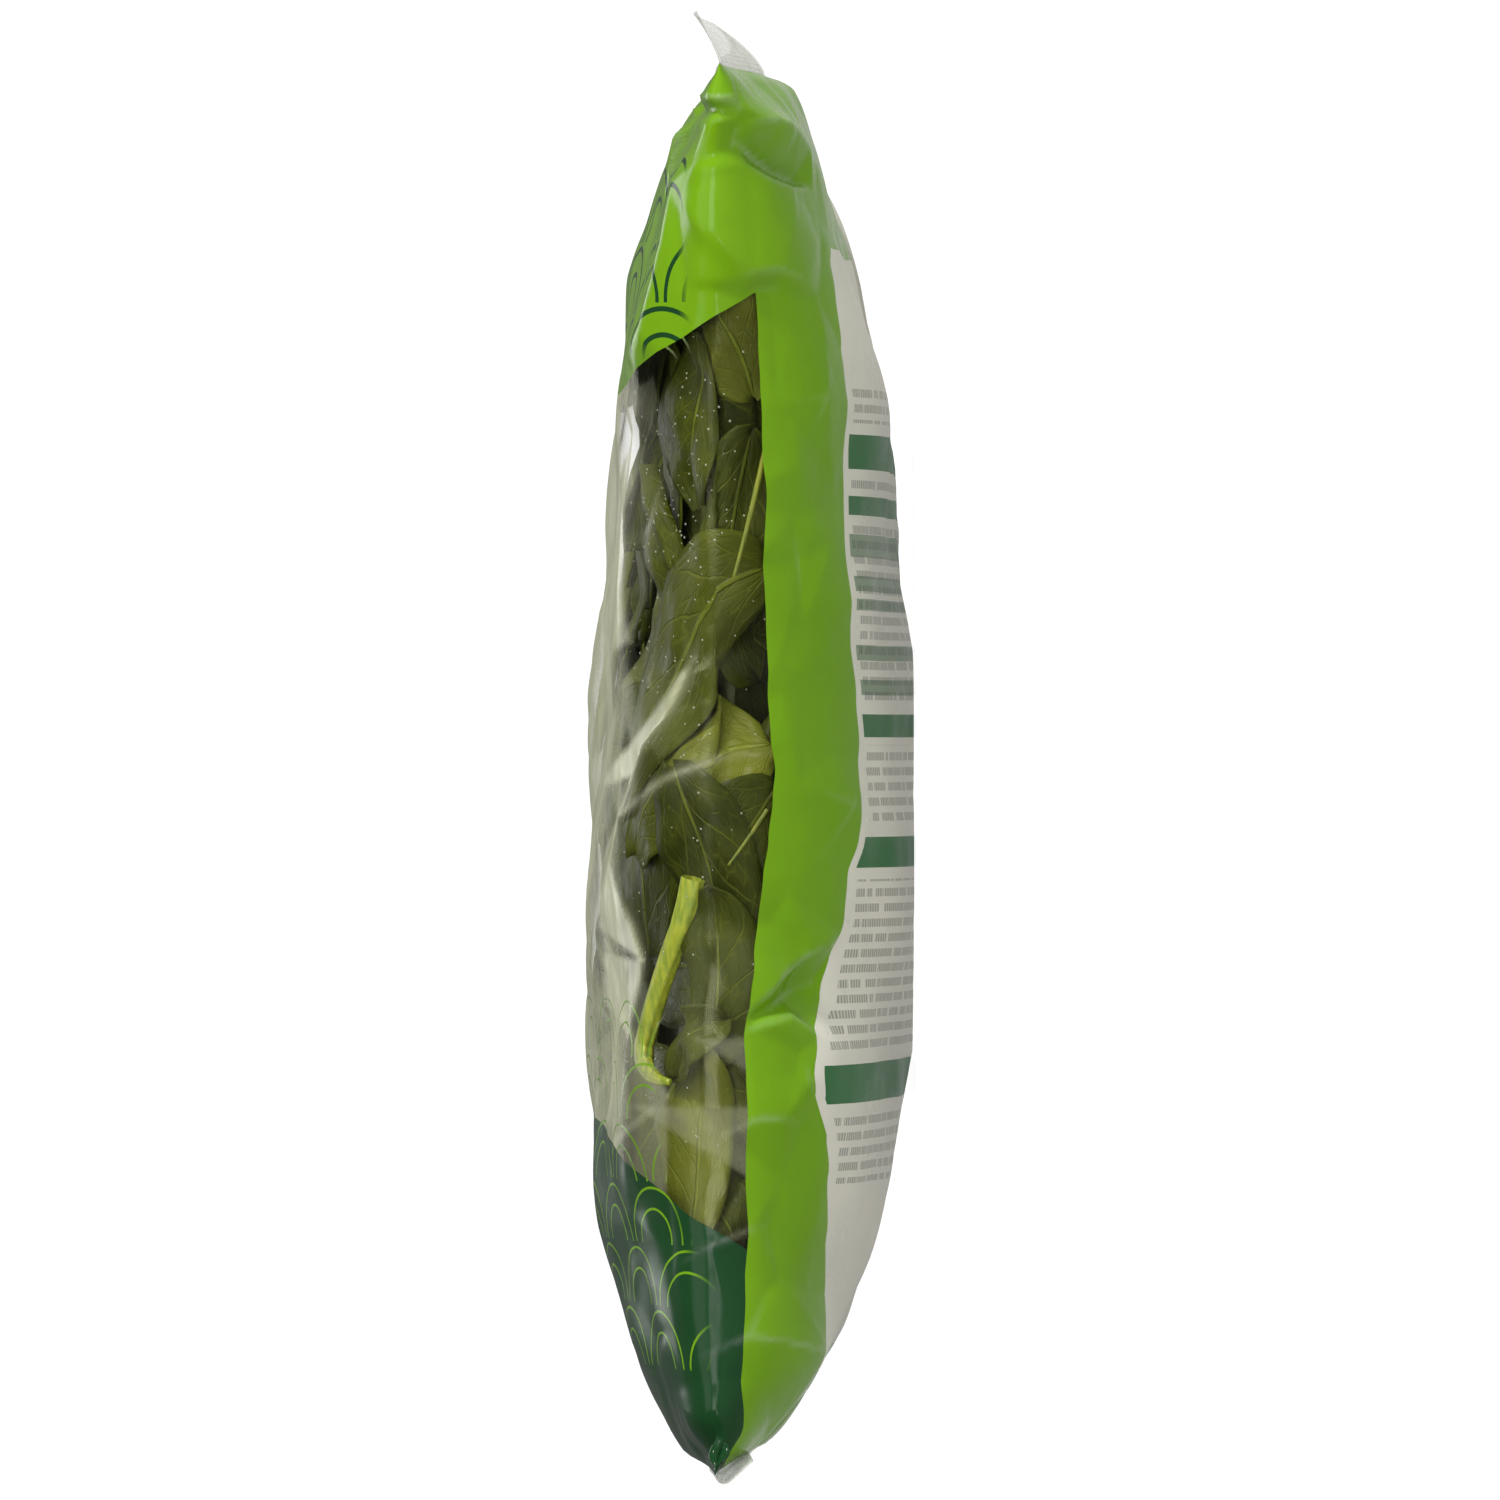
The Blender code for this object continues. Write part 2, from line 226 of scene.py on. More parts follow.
# Sharp creases of the side that faces +X, the window's last. Each is a run of (y, z, height) in millimetres,
# and the film is flat between them, as crumpled film is
CREASES = (
    ((163.8, 49.4, 0.3), (156.6, 52.5, 1.2), (150.1, 55.6, 2.0), (136.9, 57.5, 2.2), (122.5, 59.5, 2.2),
     (100.8, 63.5, 1.8), (94.1, 67.1, 1.2), (88.8, 70.0, 0.6)),
    ((148.0, 51.0, 1.2), (140.5, 53.4, 1.6), (133.3, 55.6, 1.5), (129.2, 56.8, 0.8)),
    ((162.5, 50.6, 0.1), (157.5, 52.3, 0.3), (152.2, 53.8, 0.4), (151.5, 49.6, 0.7), (152.4, 44.8, 0.5)),
    ((164.3, 48.4, 0.2), (160.5, 47.7, 1.4), (156.6, 46.2, 1.6), (154.7, 44.8, 1.2), (153.0, 44.3, 0.4)),
    ((162.5, 48.9, -0.1), (158.5, 49.6, -0.5), (154.2, 50.2, -0.8), (154.0, 47.0, -0.7)),
    ((153.0, 44.3, 0.4), (149.2, 44.1, -0.8), (145.1, 44.3, -1.2)),
    ((149.9, 43.6, 0.2), (151.1, 40.7, 1.6), (151.3, 37.6, 2.2), (149.6, 33.2, 2.4), (145.8, 28.7, 2.0),
     (141.2, 25.1, 0.8)),
    ((145.8, 43.1, -1.4), (142.9, 37.8, -2.8), (140.3, 33.0, -2.6), (138.4, 28.7, -1.2)),
    ((141.0, 41.7, 0.4), (137.9, 37.1, 1.3), (136.2, 31.3, 1.4), (137.1, 26.0, 0.8)),
    ((113.3, 45.3, 0.2), (115.3, 40.7, 1.0), (115.8, 35.4, 1.2), (113.3, 29.9, 0.8), (109.7, 25.8, 0.1)),
    ((110.0, 43.1, -0.4), (111.2, 35.9, -0.8), (109.0, 31.1, -0.2)),
    ((83.5, 33.5, 0.4), (85.7, 23.4, 1.2), (76.8, 25.8, 0.5)),
    ((56.9, 29.9, -0.3), (45.6, 28.9, -0.9), (31.1, 28.2, -0.3)),
    ((-9.0, 29.9, 0.3), (-13.1, 16.4, 1.1), (-24.2, 22.4, 0.6), (-35.0, 31.1, 0.4), (-42.4, 35.4, 0.2)),
    ((-64.5, 42.6, 0.6), (-54.9, 33.0, 1.6), (-49.4, 25.1, 1.5), (-44.6, 18.1, 0.4)),
    ((-64.1, 39.3, -0.2), (-60.7, 31.1, -1.4), (-56.6, 21.9, -1.0)),
    ((-67.9, 41.9, 0.8), (-65.7, 35.9, 1.2), (-64.5, 31.1, 0.8), (-69.8, 24.4, 0.2)),
    ((-98.7, 55.1, 0.3), (-93.9, 47.9, 1.0), (-89.5, 40.5, 1.4), (-89.5, 34.7, 1.2), (-91.0, 29.9, 0.4)),
    ((-73.0, 29.9, 0.3), (-80.7, 28.7, 1.0), (-86.7, 27.5, 0.3)),
    ((-126.8, 59.5, 0.2), (-120.3, 50.3, 1.2), (-116.5, 42.1, 1.4), (-115.0, 36.1, 0.4)),
    ((-128.3, 34.2, 0.3), (-145.6, 26.0, 1.6), (-163.4, 36.1, 0.6)),
    ((-133.1, 21.9, 0.2), (-145.6, 26.0, 1.6), (-142.0, 42.6, 1.3), (-148.9, 54.4, 0.3)),
    ((-131.1, 37.3, 0.4), (-142.0, 42.6, 1.3)),
    ((18.2, 55.1, 1.6), (1.1, 63.5, 2.0), (-16.2, 71.0, 1.4), (-11.4, 65.2, 1.2), (-7.1, 59.5, 1.4),
     (-2.0, 47.7, 0.9), (-0.8, 35.4, 0.2)),
    ((18.2, 55.1, 1.6), (9.7, 59.2, 0.4), (-4.9, 67.1, 0.5)),
    ((-28.5, 73.2, 0.8), (-39.8, 69.5, 1.3), (-51.3, 65.9, 1.3), (-60.2, 67.1, 0.8), (-69.1, 69.1, 0.3)),
    ((87.6, 67.1, 0.8), (78.3, 68.3, 1.2), (56.9, 70.3, 1.4), (31.1, 69.8, 1.2), (21.5, 73.9, 0.5)),
)
WINDOW_CREASES = 4

# Creases are raised more below the top's pockets, which start at this y, than above it and in the window
POCKETS_Y = 120
FIRM_RISE, SLACK_RISE = 2.3, 1.4

# The far side has the near side's folds the other way up and a little shorter
FAR_SIDE_TURN = -0.97
SIDES = ((1, 1), (-1, FAR_SIDE_TURN))


def near_side_y(x, y):
    """The y of the near side's fold that also lies here."""
    return np.where(x > 0, y, FAR_SIDE_TURN * y)


def soft_waves(x, y):
    """The slack film's broad waves, where the leaves press on it."""
    return 0.0010 * np.sin(x * 71 + 1.1) * np.sin(y * 63 + 0.4) + 0.0008 * np.sin(x * 38 - y * 97 + 2.0)


def side_distance(y, z):
    """The distance round the film of the place on the +X side at y and z."""
    distances = np.linspace(0.0, FLAT_WIDTH, 521)
    heights = smooth_places(distances, np.full_like(distances, y))[:, 2]
    return float(np.interp(-z, -heights, distances))


TABLE_CELL = 0.001


def flat_facets(points, heights, edges, cell=TABLE_CELL):
    """Heights in cells round and along the whole film, flat between points, which edges tie into creases."""
    columns, rows = round(2 * FLAT_WIDTH / cell) + 1, round(SEALED_LENGTH / cell) + 1
    table = np.zeros((rows, columns))
    corners, _, triangles, origins = geometry.delaunay_2d_cdt(points, edges, [], 0, 1e-5)[:4]
    levels = [heights[origin[0]] if origin else 0.0 for origin in origins]
    places = [((x + FLAT_WIDTH) / cell, (y - BOTTOM_SEAL_Y) / cell) for x, y in corners]
    for triangle in triangles:
        (ax, ay), (bx, by), (cx, cy) = (places[i] for i in triangle)
        left, right = max(0, math.floor(min(ax, bx, cx))), min(columns, math.ceil(max(ax, bx, cx)) + 1)
        low, high = max(0, math.floor(min(ay, by, cy))), min(rows, math.ceil(max(ay, by, cy)) + 1)
        whole = (bx - ax) * (cy - ay) - (cx - ax) * (by - ay)
        if left >= right or low >= high or abs(whole) < 1e-9:
            continue
        x, y = np.meshgrid(np.arange(left, right), np.arange(low, high))
        share_b = ((x - ax) * (cy - ay) - (cx - ax) * (y - ay)) / whole
        share_c = ((bx - ax) * (y - ay) - (x - ax) * (by - ay)) / whole
        inside = (share_b >= -1e-9) & (share_c >= -1e-9) & (share_b + share_c <= 1 + 1e-9)
        a, b, c = (levels[i] for i in triangle)
        table[y[inside], x[inside]] = (a + share_b * (b - a) + share_c * (c - a))[inside]
    return table


def crumple_table(spacing, height, seed):
    """Crumpled film as flat facets at random heights."""
    draw = random.Random(seed)
    points, heights = [], []
    for i in range(int(2 * FLAT_WIDTH / spacing) + 3):
        for j in range(int(SEALED_LENGTH / spacing) + 3):
            x, y = (i - 1 + draw.uniform(-0.42, 0.42)), (j - 1 + draw.uniform(-0.42, 0.42))
            points.append(Vector((x * spacing - FLAT_WIDTH, y * spacing + BOTTOM_SEAL_Y)))
            heights.append(height * draw.uniform(-1, 1))
    return flat_facets(points, heights, [])


def crease_table(spacing=0.017, clear=0.0085, facet_height=0.0005, seed=8):
    """The creases of both sides, with loose facets round them."""
    draw = random.Random(seed)
    points, heights, edges = [], [], []
    for side, along in SIDES:
        for index, crease in enumerate(CREASES):
            for step, (y, z, height) in enumerate(crease):
                place = Vector((side * side_distance(y / 1000, z / 1000), along * y / 1000))
                points.append(place)
                firm = index < len(CREASES) - WINDOW_CREASES and y < POCKETS_Y
                heights.append((FIRM_RISE if firm else SLACK_RISE) * height / 1000)
                if step:
                    edges.append((len(points) - 2, len(points) - 1))
    creased = np.array([tuple(point) for point in points])
    middles = np.array([tuple((points[a] + points[b]) / 2) for a, b in edges])
    creased = np.concatenate([creased, middles])
    for i in range(int(2 * FLAT_WIDTH / spacing) + 2):
        for j in range(int(SEALED_LENGTH / spacing) + 2):
            x = (i + draw.uniform(-0.35, 0.35)) * spacing - FLAT_WIDTH
            y = (j + draw.uniform(-0.35, 0.35)) * spacing + BOTTOM_SEAL_Y
            height = facet_height * draw.uniform(-1, 1)
            if np.hypot(creased[:, 0] - x, creased[:, 1] - y).min() > clear:
                points.append(Vector((x, y)))
                heights.append(height)
    return flat_facets(points, heights, edges)


FACETS = crumple_table(0.030, 0.0012, 11) + crumple_table(0.011, 0.00040, 5) + crease_table()


def crease_lines(shape, half_width=0.0006):
    """How near each cell lies to a crease: 1 on it, and 0 a little way off. Low creases don't count."""
    distance = np.linspace(-FLAT_WIDTH, FLAT_WIDTH, shape[1])[None, :]
    y = np.linspace(BOTTOM_SEAL_Y, TOP_SEAL_Y, shape[0])[:, None]
    lines = np.zeros(shape)
    for side, along in SIDES:
        for crease in CREASES:
            places = [(side * side_distance(y0 / 1000, z0 / 1000), along * y0 / 1000) for y0, z0, _ in crease]
            for start, end, (_, _, high), (_, _, low) in zip(places, places[1:], crease, crease[1:]):
                run = np.subtract(end, start)
                share = ((distance - start[0]) * run[0] + (y - start[1]) * run[1]) / max(run @ run, 1e-9)
                share = np.clip(share, 0, 1)
                away = np.hypot(distance - start[0] - share * run[0], y - start[1] - share * run[1])
                strength = np.clip((abs(high + share * (low - high)) - 0.5) / 1.2, 0, 1)
                lines = np.maximum(lines, strength * np.clip(1.4 - away / half_width, 0, 1))
    return lines


# Where highlights are painted along the creases, on the print and on the clear film.
CREASE_LINES = crease_lines(FACETS.shape)


def facets(distance, y, table=FACETS):
    """Reads a table of facets at places on the film."""
    row = (y - BOTTOM_SEAL_Y) / SEALED_LENGTH * (table.shape[0] - 1)
    column = (distance + FLAT_WIDTH) / (2 * FLAT_WIDTH) * (table.shape[1] - 1)
    return look_up(table, row, column)


PLEAT_HEIGHT, PLEAT_LENGTH, PLEAT_STEPS = 0.0011, 0.013, (0.0035, 0.010)


def pleats(distance, from_seal, seed):
    """Small pleats that run out from a seal."""
    draw = random.Random(seed)
    knots = np.cumsum([draw.uniform(*PLEAT_STEPS) for _ in range(90)]) - FLAT_WIDTH - PLEAT_STEPS[1]
    heights = [draw.uniform(-1, 1) for _ in knots]
    return PLEAT_HEIGHT * np.interp(distance, knots, heights) * np.exp(-from_seal / PLEAT_LENGTH)


# The front's puff just under the top crimp: its y, half length, half width and height
PUFF_Y, PUFF_LENGTH, PUFF_WIDTH, PUFF_HEIGHT = 0.158, 0.011, 0.085, 0.0024
# Nothing stands out of the bag right at a seal
FLAT_AT_SEAL = 0.004


def relief(distance, y, x, z):
    """How far the film stands out of the smooth bag."""
    to_top, to_bottom = TOP_SEAL_Y - y, y - BOTTOM_SEAL_Y
    from_seal = np.minimum(to_top, to_bottom)
    on_side = np.clip((np.abs(x) - INNER_FOLD_X) / (OUTER_FOLD_X - INNER_FOLD_X), 0, 1)
    out = on_side * FOLD_DEPTH * side_relief(near_side_y(x, y), z) + soft_waves(x, y)
    out = out + facets(distance, y) + pleats(distance, np.maximum(to_top, 0), 3)
    out = out + pleats(distance, np.maximum(to_bottom, 0), 4)
    out = out + PUFF_HEIGHT * bell(y - PUFF_Y, PUFF_LENGTH) * bell(distance, PUFF_WIDTH)
    return out * np.clip(from_seal / FLAT_AT_SEAL, 0, 1)


def film_places(distance, y):
    """The film's own surface with its folds, crimps and all. y past a seal is a length along the crimp."""
    inside = sealed_in(y)
    places = smooth_places(distance, inside)
    lift = relief(distance, inside, places[..., 0], places[..., 2])
    places = places + outward(distance, inside) * lift[..., None]
    beyond = np.maximum(0, y - TOP_SEAL_Y)
    places[..., 1] += beyond
    places[..., 2] += seal_line(places[..., 0], TOP_SEAL_Y + beyond) - seal_line(places[..., 0], TOP_SEAL_Y)
    past = np.maximum(0, BOTTOM_SEAL_Y - y)
    turn = np.minimum(past / CURL_RADIUS, CURL_TURN)
    straight = past - turn * CURL_RADIUS
    layer = look_up(SECTION_Z, np.zeros_like(y), np.abs(distance) / FLAT_WIDTH * (SECTION_Z.shape[1] - 1))
    places[..., 1] -= CURL_RADIUS * np.sin(turn) + straight * np.cos(turn) + layer * np.sin(turn)
    places[..., 2] += CURL_RADIUS * (np.cos(turn) - 1) - straight * np.sin(turn) + layer * (np.cos(turn) - 1)
    places[..., 2] = np.maximum(places[..., 2], 0)
    return places


def smooth_line(stations, y):
    """A smooth curve through a line's few stations, read at y."""
    at, value = np.array(stations).T
    i = np.clip(np.searchsorted(at, y) - 1, 0, len(at) - 2)
    share = np.clip((y - at[i]) / (at[i + 1] - at[i]), 0, 1)
    return value[i] + (value[i + 1] - value[i]) * share * share * (3 - 2 * share)


def colour_setting(name, description, default):
    return bpy.props.FloatVectorProperty(
        name=name, description=description, subtype="COLOR", size=3, default=default, min=0, max=1
    )


class FilmSettings(bpy.types.PropertyGroup):
    lime: colour_setting("Lime", "Colour of the lime print", (0.158, 0.345, 0.006))
    dark_green: colour_setting("Dark green", "Colour of the dark print", (0.009, 0.052, 0.014))
    white: colour_setting("White", "Colour of the back panel", (0.74, 0.72, 0.63))
    haze_and_painted_reflection: bpy.props.FloatProperty(
        name="Haze", description="How milky the clear film is", subtype="FACTOR",
        default=0.012, min=0, max=1,
    )


class LeafSettings(bpy.types.PropertyGroup):
    count: bpy.props.IntProperty(
        name="Leaves", description="Loose leaves drawn for the pile under the film", default=215, min=1
    )
    length: bpy.props.FloatProperty(
        name="Length", description="Length of a middling leaf", subtype="DISTANCE", unit="LENGTH",
        default=0.055,
    )
    colour: colour_setting("Leaf", "Colour of a leaf's blade", (0.040, 0.051, 0.001))
    stalk: colour_setting("Stalk", "Colour of a stalk", (0.34, 0.37, 0.020))


class StudioSettings(bpy.types.PropertyGroup):
    lens: bpy.props.FloatProperty(
        name="Lens", description="Focal length in millimetres", default=300.0, min=10
    )
    fill: bpy.props.FloatProperty(
        name="Fill", description="Strength of the light from all round", default=0.16, min=0
    )
    key: bpy.props.FloatProperty(
        name="Key", description="Power that the soft lights share", subtype="POWER", unit="POWER",
        default=13.7, min=0,
    )


def object_of(mesh, name, materials, smooth=True):
    """Turns a bmesh into an object at the origin."""
    data = bpy.data.meshes.new(name)
    mesh.to_mesh(data)
    mesh.free()
    for material in materials:
        data.materials.append(material)
    if smooth:
        data.shade_smooth()
    made = bpy.data.objects.new(name, data)
    bpy.context.scene.collection.objects.link(made)
    return made


def grid_cell(vertex, rows, columns):
    """The row and column of a vertex in a flat grid 1 m wide that has so many rows and columns of cells."""
    return round((vertex.co.y + 0.5) * rows), round((vertex.co.x + 0.5) * columns)


def close_skin(mesh):
    """Joins the sides of a sheet where they meet, and fills the holes left at its ends."""
    bmesh.ops.remove_doubles(mesh, verts=mesh.verts, dist=1e-5)
    bmesh.ops.holes_fill(mesh, edges=[edge for edge in mesh.edges if edge.is_boundary], sides=0)
    bmesh.ops.recalc_face_normals(mesh, faces=mesh.faces)


def stands_for_bag(piece):
    """Lets a piece ride with the bag, in place of its solid."""
    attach(piece, "root")
    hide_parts("bag")


class Nodes:
    """Short ways to add and join a material's nodes."""

    def __init__(self, name):
        self.material = bpy.data.materials.new(name)
        self.material.use_nodes = True
        self.tree = self.material.node_tree
        self.shader = self.tree.nodes["Principled BSDF"]

    def put(self, kind, values=(), **settings):
        node = self.tree.nodes.new("ShaderNode" + kind)
        for key, value in settings.items():
            setattr(node, key, value)
        for key, value in dict(values).items():
            self.join(value, node.inputs[key])
        return node

    def join(self, value, socket):
        if isinstance(value, bpy.types.NodeSocket):
            self.tree.links.new(value, socket)
        elif value is not None:
            socket.default_value = value

    def math(self, operation, first, second=None, clamp=False):
        values = {0: first} if second is None else {0: first, 1: second}
        return self.put("Math", values, operation=operation, use_clamp=clamp).outputs[0]

    def times(self, first, second):
        return self.math("MULTIPLY", first, second)

    def ramp(self, value, low, high, to_low=0.0, to_high=1.0):
        values = {"Value": value, "From Min": low, "From Max": high, "To Min": to_low, "To Max": to_high}
        return self.put("MapRange", values, interpolation_type="SMOOTHSTEP").outputs["Result"]

    def mix(self, share, first, second):
        node = self.put("Mix", data_type="RGBA")
        self.join(share, node.inputs[0])
        self.join(first, node.inputs[6])
        self.join(second, node.inputs[7])
        return node.outputs[2]

    def noise(self, vector, scale, detail=3.0, **more):
        values = {"Vector": vector, "Scale": scale, "Detail": detail}
        values.update(more)
        return self.put("TexNoise", values).outputs["Fac"]

    def place(self):
        return self.put("TexCoord").outputs["Object"]

    def uv(self):
        return self.put("UVMap", uv_map="film").outputs["UV"]

    def attribute(self, name):
        return self.put("Attribute", attribute_name=name, attribute_type="GEOMETRY").outputs["Fac"]

    def bump(self, height, distance, strength=1.0):
        values = {"Height": height, "Distance": distance, "Strength": strength}
        self.join(self.put("Bump", values).outputs["Normal"], self.shader.inputs["Normal"])

    def finish(self, **values):
        for key, value in values.items():
            self.join(value, self.shader.inputs[key.replace("_", " ")])
        return self.material


def colour4(colour):
    return (*colour, 1.0)


def print_material(name, colour, shine=0.20):
    """Ink under thin film: nearly even colour, soft creases with painted highlights along them, and small
    wrinkles.
    """
    nodes = Nodes(name)
    place = nodes.place()
    blotch = nodes.noise(place, 45.0, 4.0)
    darker = tuple(part * 0.86 for part in colour)
    tint = nodes.mix(blotch, colour4(darker), colour4(tuple(part * 1.12 for part in colour)))
    # Painted highlight: the ink is lightened along the creases, more in some patches than in others.
    patches = nodes.ramp(nodes.noise(place, 120.0, 2.0), 0.3, 0.6, 0.14, 0.46)
    painted_crease_highlight = nodes.times(nodes.attribute("crease"), patches)
    tint = nodes.mix(painted_crease_highlight, tint, colour4(tuple(0.60 * part + 0.32 for part in colour)))
    wrinkle = nodes.noise(place, 260.0, 2.0)
    broad = nodes.noise(place, 55.0, 1.0)
    nodes.bump(nodes.math("ADD", nodes.times(wrinkle, 0.02), broad), 0.0010, 0.25)
    rough = nodes.ramp(blotch, 0.3, 0.7, shine - 0.05, shine + 0.06)
    nodes.shader.inputs["Specular IOR Level"].default_value = 0.16
    return nodes, tint, rough


# The line pattern's cell, its arcs' radius and its line width: fine on dark and clear film, broad on lime
FINE_ARCS = (0.030, 0.0135, 0.00035)
BROAD_ARCS = (0.036, 0.0165, 0.0007)


def arcs(nodes, cell, radius, line):
    """Rows of nested arcs, each row half a step along from the last: a plain line pattern on the film."""
    split = nodes.put("SeparateXYZ", {0: nodes.uv()})
    row = nodes.math("DIVIDE", split.outputs["Y"], cell * 0.5)
    half = nodes.times(nodes.math("MODULO", nodes.math("FLOOR", row), 2.0), 0.5)
    across = nodes.math("ADD", nodes.math("DIVIDE", split.outputs["X"], cell), half)
    x = nodes.math("SUBTRACT", nodes.math("FRACT", across), 0.5)
    y = nodes.times(nodes.math("FRACT", row), 0.5)
    away = nodes.math("SQRT", nodes.math("ADD", nodes.times(x, x), nodes.times(y, y)))
    ink = None
    for share in (1.0, 0.62):
        off = nodes.math("ABSOLUTE", nodes.math("SUBTRACT", away, radius * share / cell))
        one = nodes.ramp(off, line / cell * 0.8, line / cell, 1.0, 0.0)
        ink = one if ink is None else nodes.math("MAXIMUM", ink, one)
    return nodes.times(ink, nodes.attribute("motif"))


def patterned_material(name, ground, ink, size):
    """One printed colour, with the line pattern in the other."""
    nodes, tint, rough = print_material(name, ground)
    return nodes.finish(Base_Color=nodes.mix(arcs(nodes, *size), tint, colour4(ink)), Roughness=rough)


# The back panel's layout: spans of y with header bars, table stripes and lines of small print
HEADER_SPANS = ((-0.0864, -0.0778), (-0.0295, -0.0222), (0.0028, 0.0083), (0.0564, 0.0610), (0.0680, 0.0762))
STRIPE_SPANS = ((0.0131, 0.0167), (0.0210, 0.0244), (0.0333, 0.0362), (0.0381, 0.0418), (0.0460, 0.0525))
PRINT_SPANS = (
    (-0.1060, -0.0890), (-0.0746, -0.0320), (-0.0194, 0.0005),
    (0.0105, 0.0545), (0.0625, 0.0665), (0.0795, 0.0890),
)
LAYOUT_BOTTOM_Y, LAYOUT_TOP_Y = -0.12, 0.12
LINE_SPACING = 0.0037
WORDS_PER_METRE = 260.0
STROKES_PER_METRE = 760.0
PRINT_MARGIN = 0.0055
BAR_MARGIN = 0.0035


def spans(nodes, along, pairs):
    """1 inside any of the spans and 0 outside, with sharp ends."""
    node = nodes.put("ValToRGB", {0: along})
    ramp = node.color_ramp
    ramp.interpolation = "CONSTANT"
    ramp.elements[1].position = 1.0
    ramp.elements[0].color = ramp.elements[1].color = (0, 0, 0, 1)
    for low, high in pairs:
        for y, value in ((low, 1.0), (high, 0.0)):
            stop = ramp.elements.new((y - LAYOUT_BOTTOM_Y) / (LAYOUT_TOP_Y - LAYOUT_BOTTOM_Y))
            stop.color = (value, value, value, 1)
    return node.outputs["Color"]


def small_print(nodes, split):
    """Thin bars in lines, with gaps like those between words."""
    line = nodes.math("DIVIDE", split.outputs["Y"], LINE_SPACING)
    in_line = nodes.math("COMPARE", nodes.math("FRACT", line), 0.5)
    in_line.node.inputs[2].default_value = 0.27
    across = nodes.times(split.outputs["X"], WORDS_PER_METRE)
    words = nodes.put("CombineXYZ", {0: across, 1: nodes.math("FLOOR", line)})
    gaps = nodes.ramp(nodes.noise(words.outputs[0], 1.0, 1.0), 0.40, 0.43)
    stroke = nodes.math("FRACT", nodes.times(split.outputs["X"], STROKES_PER_METRE))
    strokes = nodes.ramp(stroke, 0.45, 0.75, 1.0, 0.25)
    return nodes.times(in_line, nodes.times(gaps, strokes))


def white_material(settings):
    """The back panel: white, with thin bars for small print, a pale striped table and green header bars."""
    nodes, tint, rough = print_material("white_print", settings.white, 0.30)
    split = nodes.put("SeparateXYZ", {0: nodes.uv()})
    along = nodes.put("MapRange", {0: split.outputs["Y"], 1: LAYOUT_BOTTOM_Y, 2: LAYOUT_TOP_Y}).outputs[0]
    margin = nodes.attribute("margin")
    in_print = nodes.math("GREATER_THAN", margin, PRINT_MARGIN)
    in_bars = nodes.math("GREATER_THAN", margin, BAR_MARGIN)
    lines = nodes.times(small_print(nodes, split), in_print)
    lines = nodes.times(lines, spans(nodes, along, PRINT_SPANS))
    stripes = nodes.times(spans(nodes, along, STRIPE_SPANS), in_bars)
    headers = nodes.times(spans(nodes, along, HEADER_SPANS), in_bars)
    tint = nodes.mix(stripes, tint, (0.24, 0.31, 0.21, 1))
    tint = nodes.mix(nodes.times(lines, 0.55), tint, (0.035, 0.05, 0.035, 1))
    tint = nodes.mix(headers, tint, (0.030, 0.15, 0.045, 1))
    return nodes.finish(Base_Color=tint, Roughness=rough)


def window_material(settings):
    """Clear film: a thin mirror that hardly shows where it is smooth, whitened by painted reflection along
    its creases, in patches and towards its rim.
    """
    nodes = Nodes("clear_window")
    place = nodes.place()
    grazing = nodes.put("LayerWeight", {"Blend": 0.35}).outputs["Facing"]
    stretched = nodes.put("Mapping", {"Vector": place, "Scale": (1.0, 0.35, 1.0)}).outputs[0]
    streaks = nodes.noise(stretched, 70.0, 4.0)
    # Painted reflection: the film's attribute whitens it in patches and along its creases, broken into
    # streaks.
    painted_reflection_cloud = nodes.times(nodes.attribute("haze_and_painted_reflection"), nodes.ramp(streaks, 0.25, 0.6, 0.7, 1.0))
    # Painted reflection: whiter where the film is seen edge-on.
    grazing_painted_reflection = nodes.times(nodes.ramp(grazing, 0.52, 0.90), 0.85)
    milky = nodes.math("ADD", painted_reflection_cloud, grazing_painted_reflection, clamp=True)
    ink = arcs(nodes, *FINE_ARCS)
    lines = nodes.times(ink, 0.8)
    # milky is all painted reflection: it raises Alpha and turns the mirror into the whitish colour below.
    solid = nodes.math("MAXIMUM", lines, nodes.ramp(milky, 0.0, 0.12))
    wrinkle = nodes.noise(place, 170.0, 4.0, Distortion=0.8)
    nodes.bump(wrinkle, 0.0008, 0.18)
    # The whitish colour is the painted reflection's; lime is the printed line pattern.
    return nodes.finish(
        Base_Color=nodes.mix(ink, (0.64, 0.65, 0.42, 1), colour4(settings.lime)),
        Metallic=nodes.math("SUBTRACT", 1.0, solid, clamp=True),
        Alpha=nodes.math("ADD", nodes.math("MAXIMUM", milky, lines), settings.haze_and_painted_reflection, clamp=True),
        Roughness=nodes.ramp(streaks, 0.3, 0.7, 0.15, 0.26),
    )


RIDGE_SPACING = 0.0011


def crimp_material():
    """The crimped ends: two clear films pressed together, milky, with fine ridges across."""
    nodes = Nodes("clear_crimp")
    split = nodes.put("SeparateXYZ", {0: nodes.uv()})
    ridges = nodes.math("SINE", nodes.times(split.outputs["Y"], 2 * math.pi / RIDGE_SPACING))
    mottle = nodes.noise(nodes.place(), 160.0, 4.0)
    nodes.bump(nodes.math("ADD", nodes.times(ridges, 0.35), mottle), 0.0004, 0.40)
    return nodes.finish(
        Base_Color=nodes.mix(mottle, (0.83, 0.82, 0.75, 1), (0.91, 0.90, 0.84, 1)),
        Alpha=nodes.ramp(mottle, 0.3, 0.7, 0.42, 0.62),
        Roughness=0.30,
    )


FILM_FIELDS = ("clear_crimp", "clear_window", "lime_print", "dark_green_print", "white_print")


# About how far round the film the window's and the back panel's edges lie, and where the back starts
WINDOW_SIDE = 0.136
PANEL_SIDE = 0.165
BACK_START = 0.140
SIDE_BLEND = 0.030


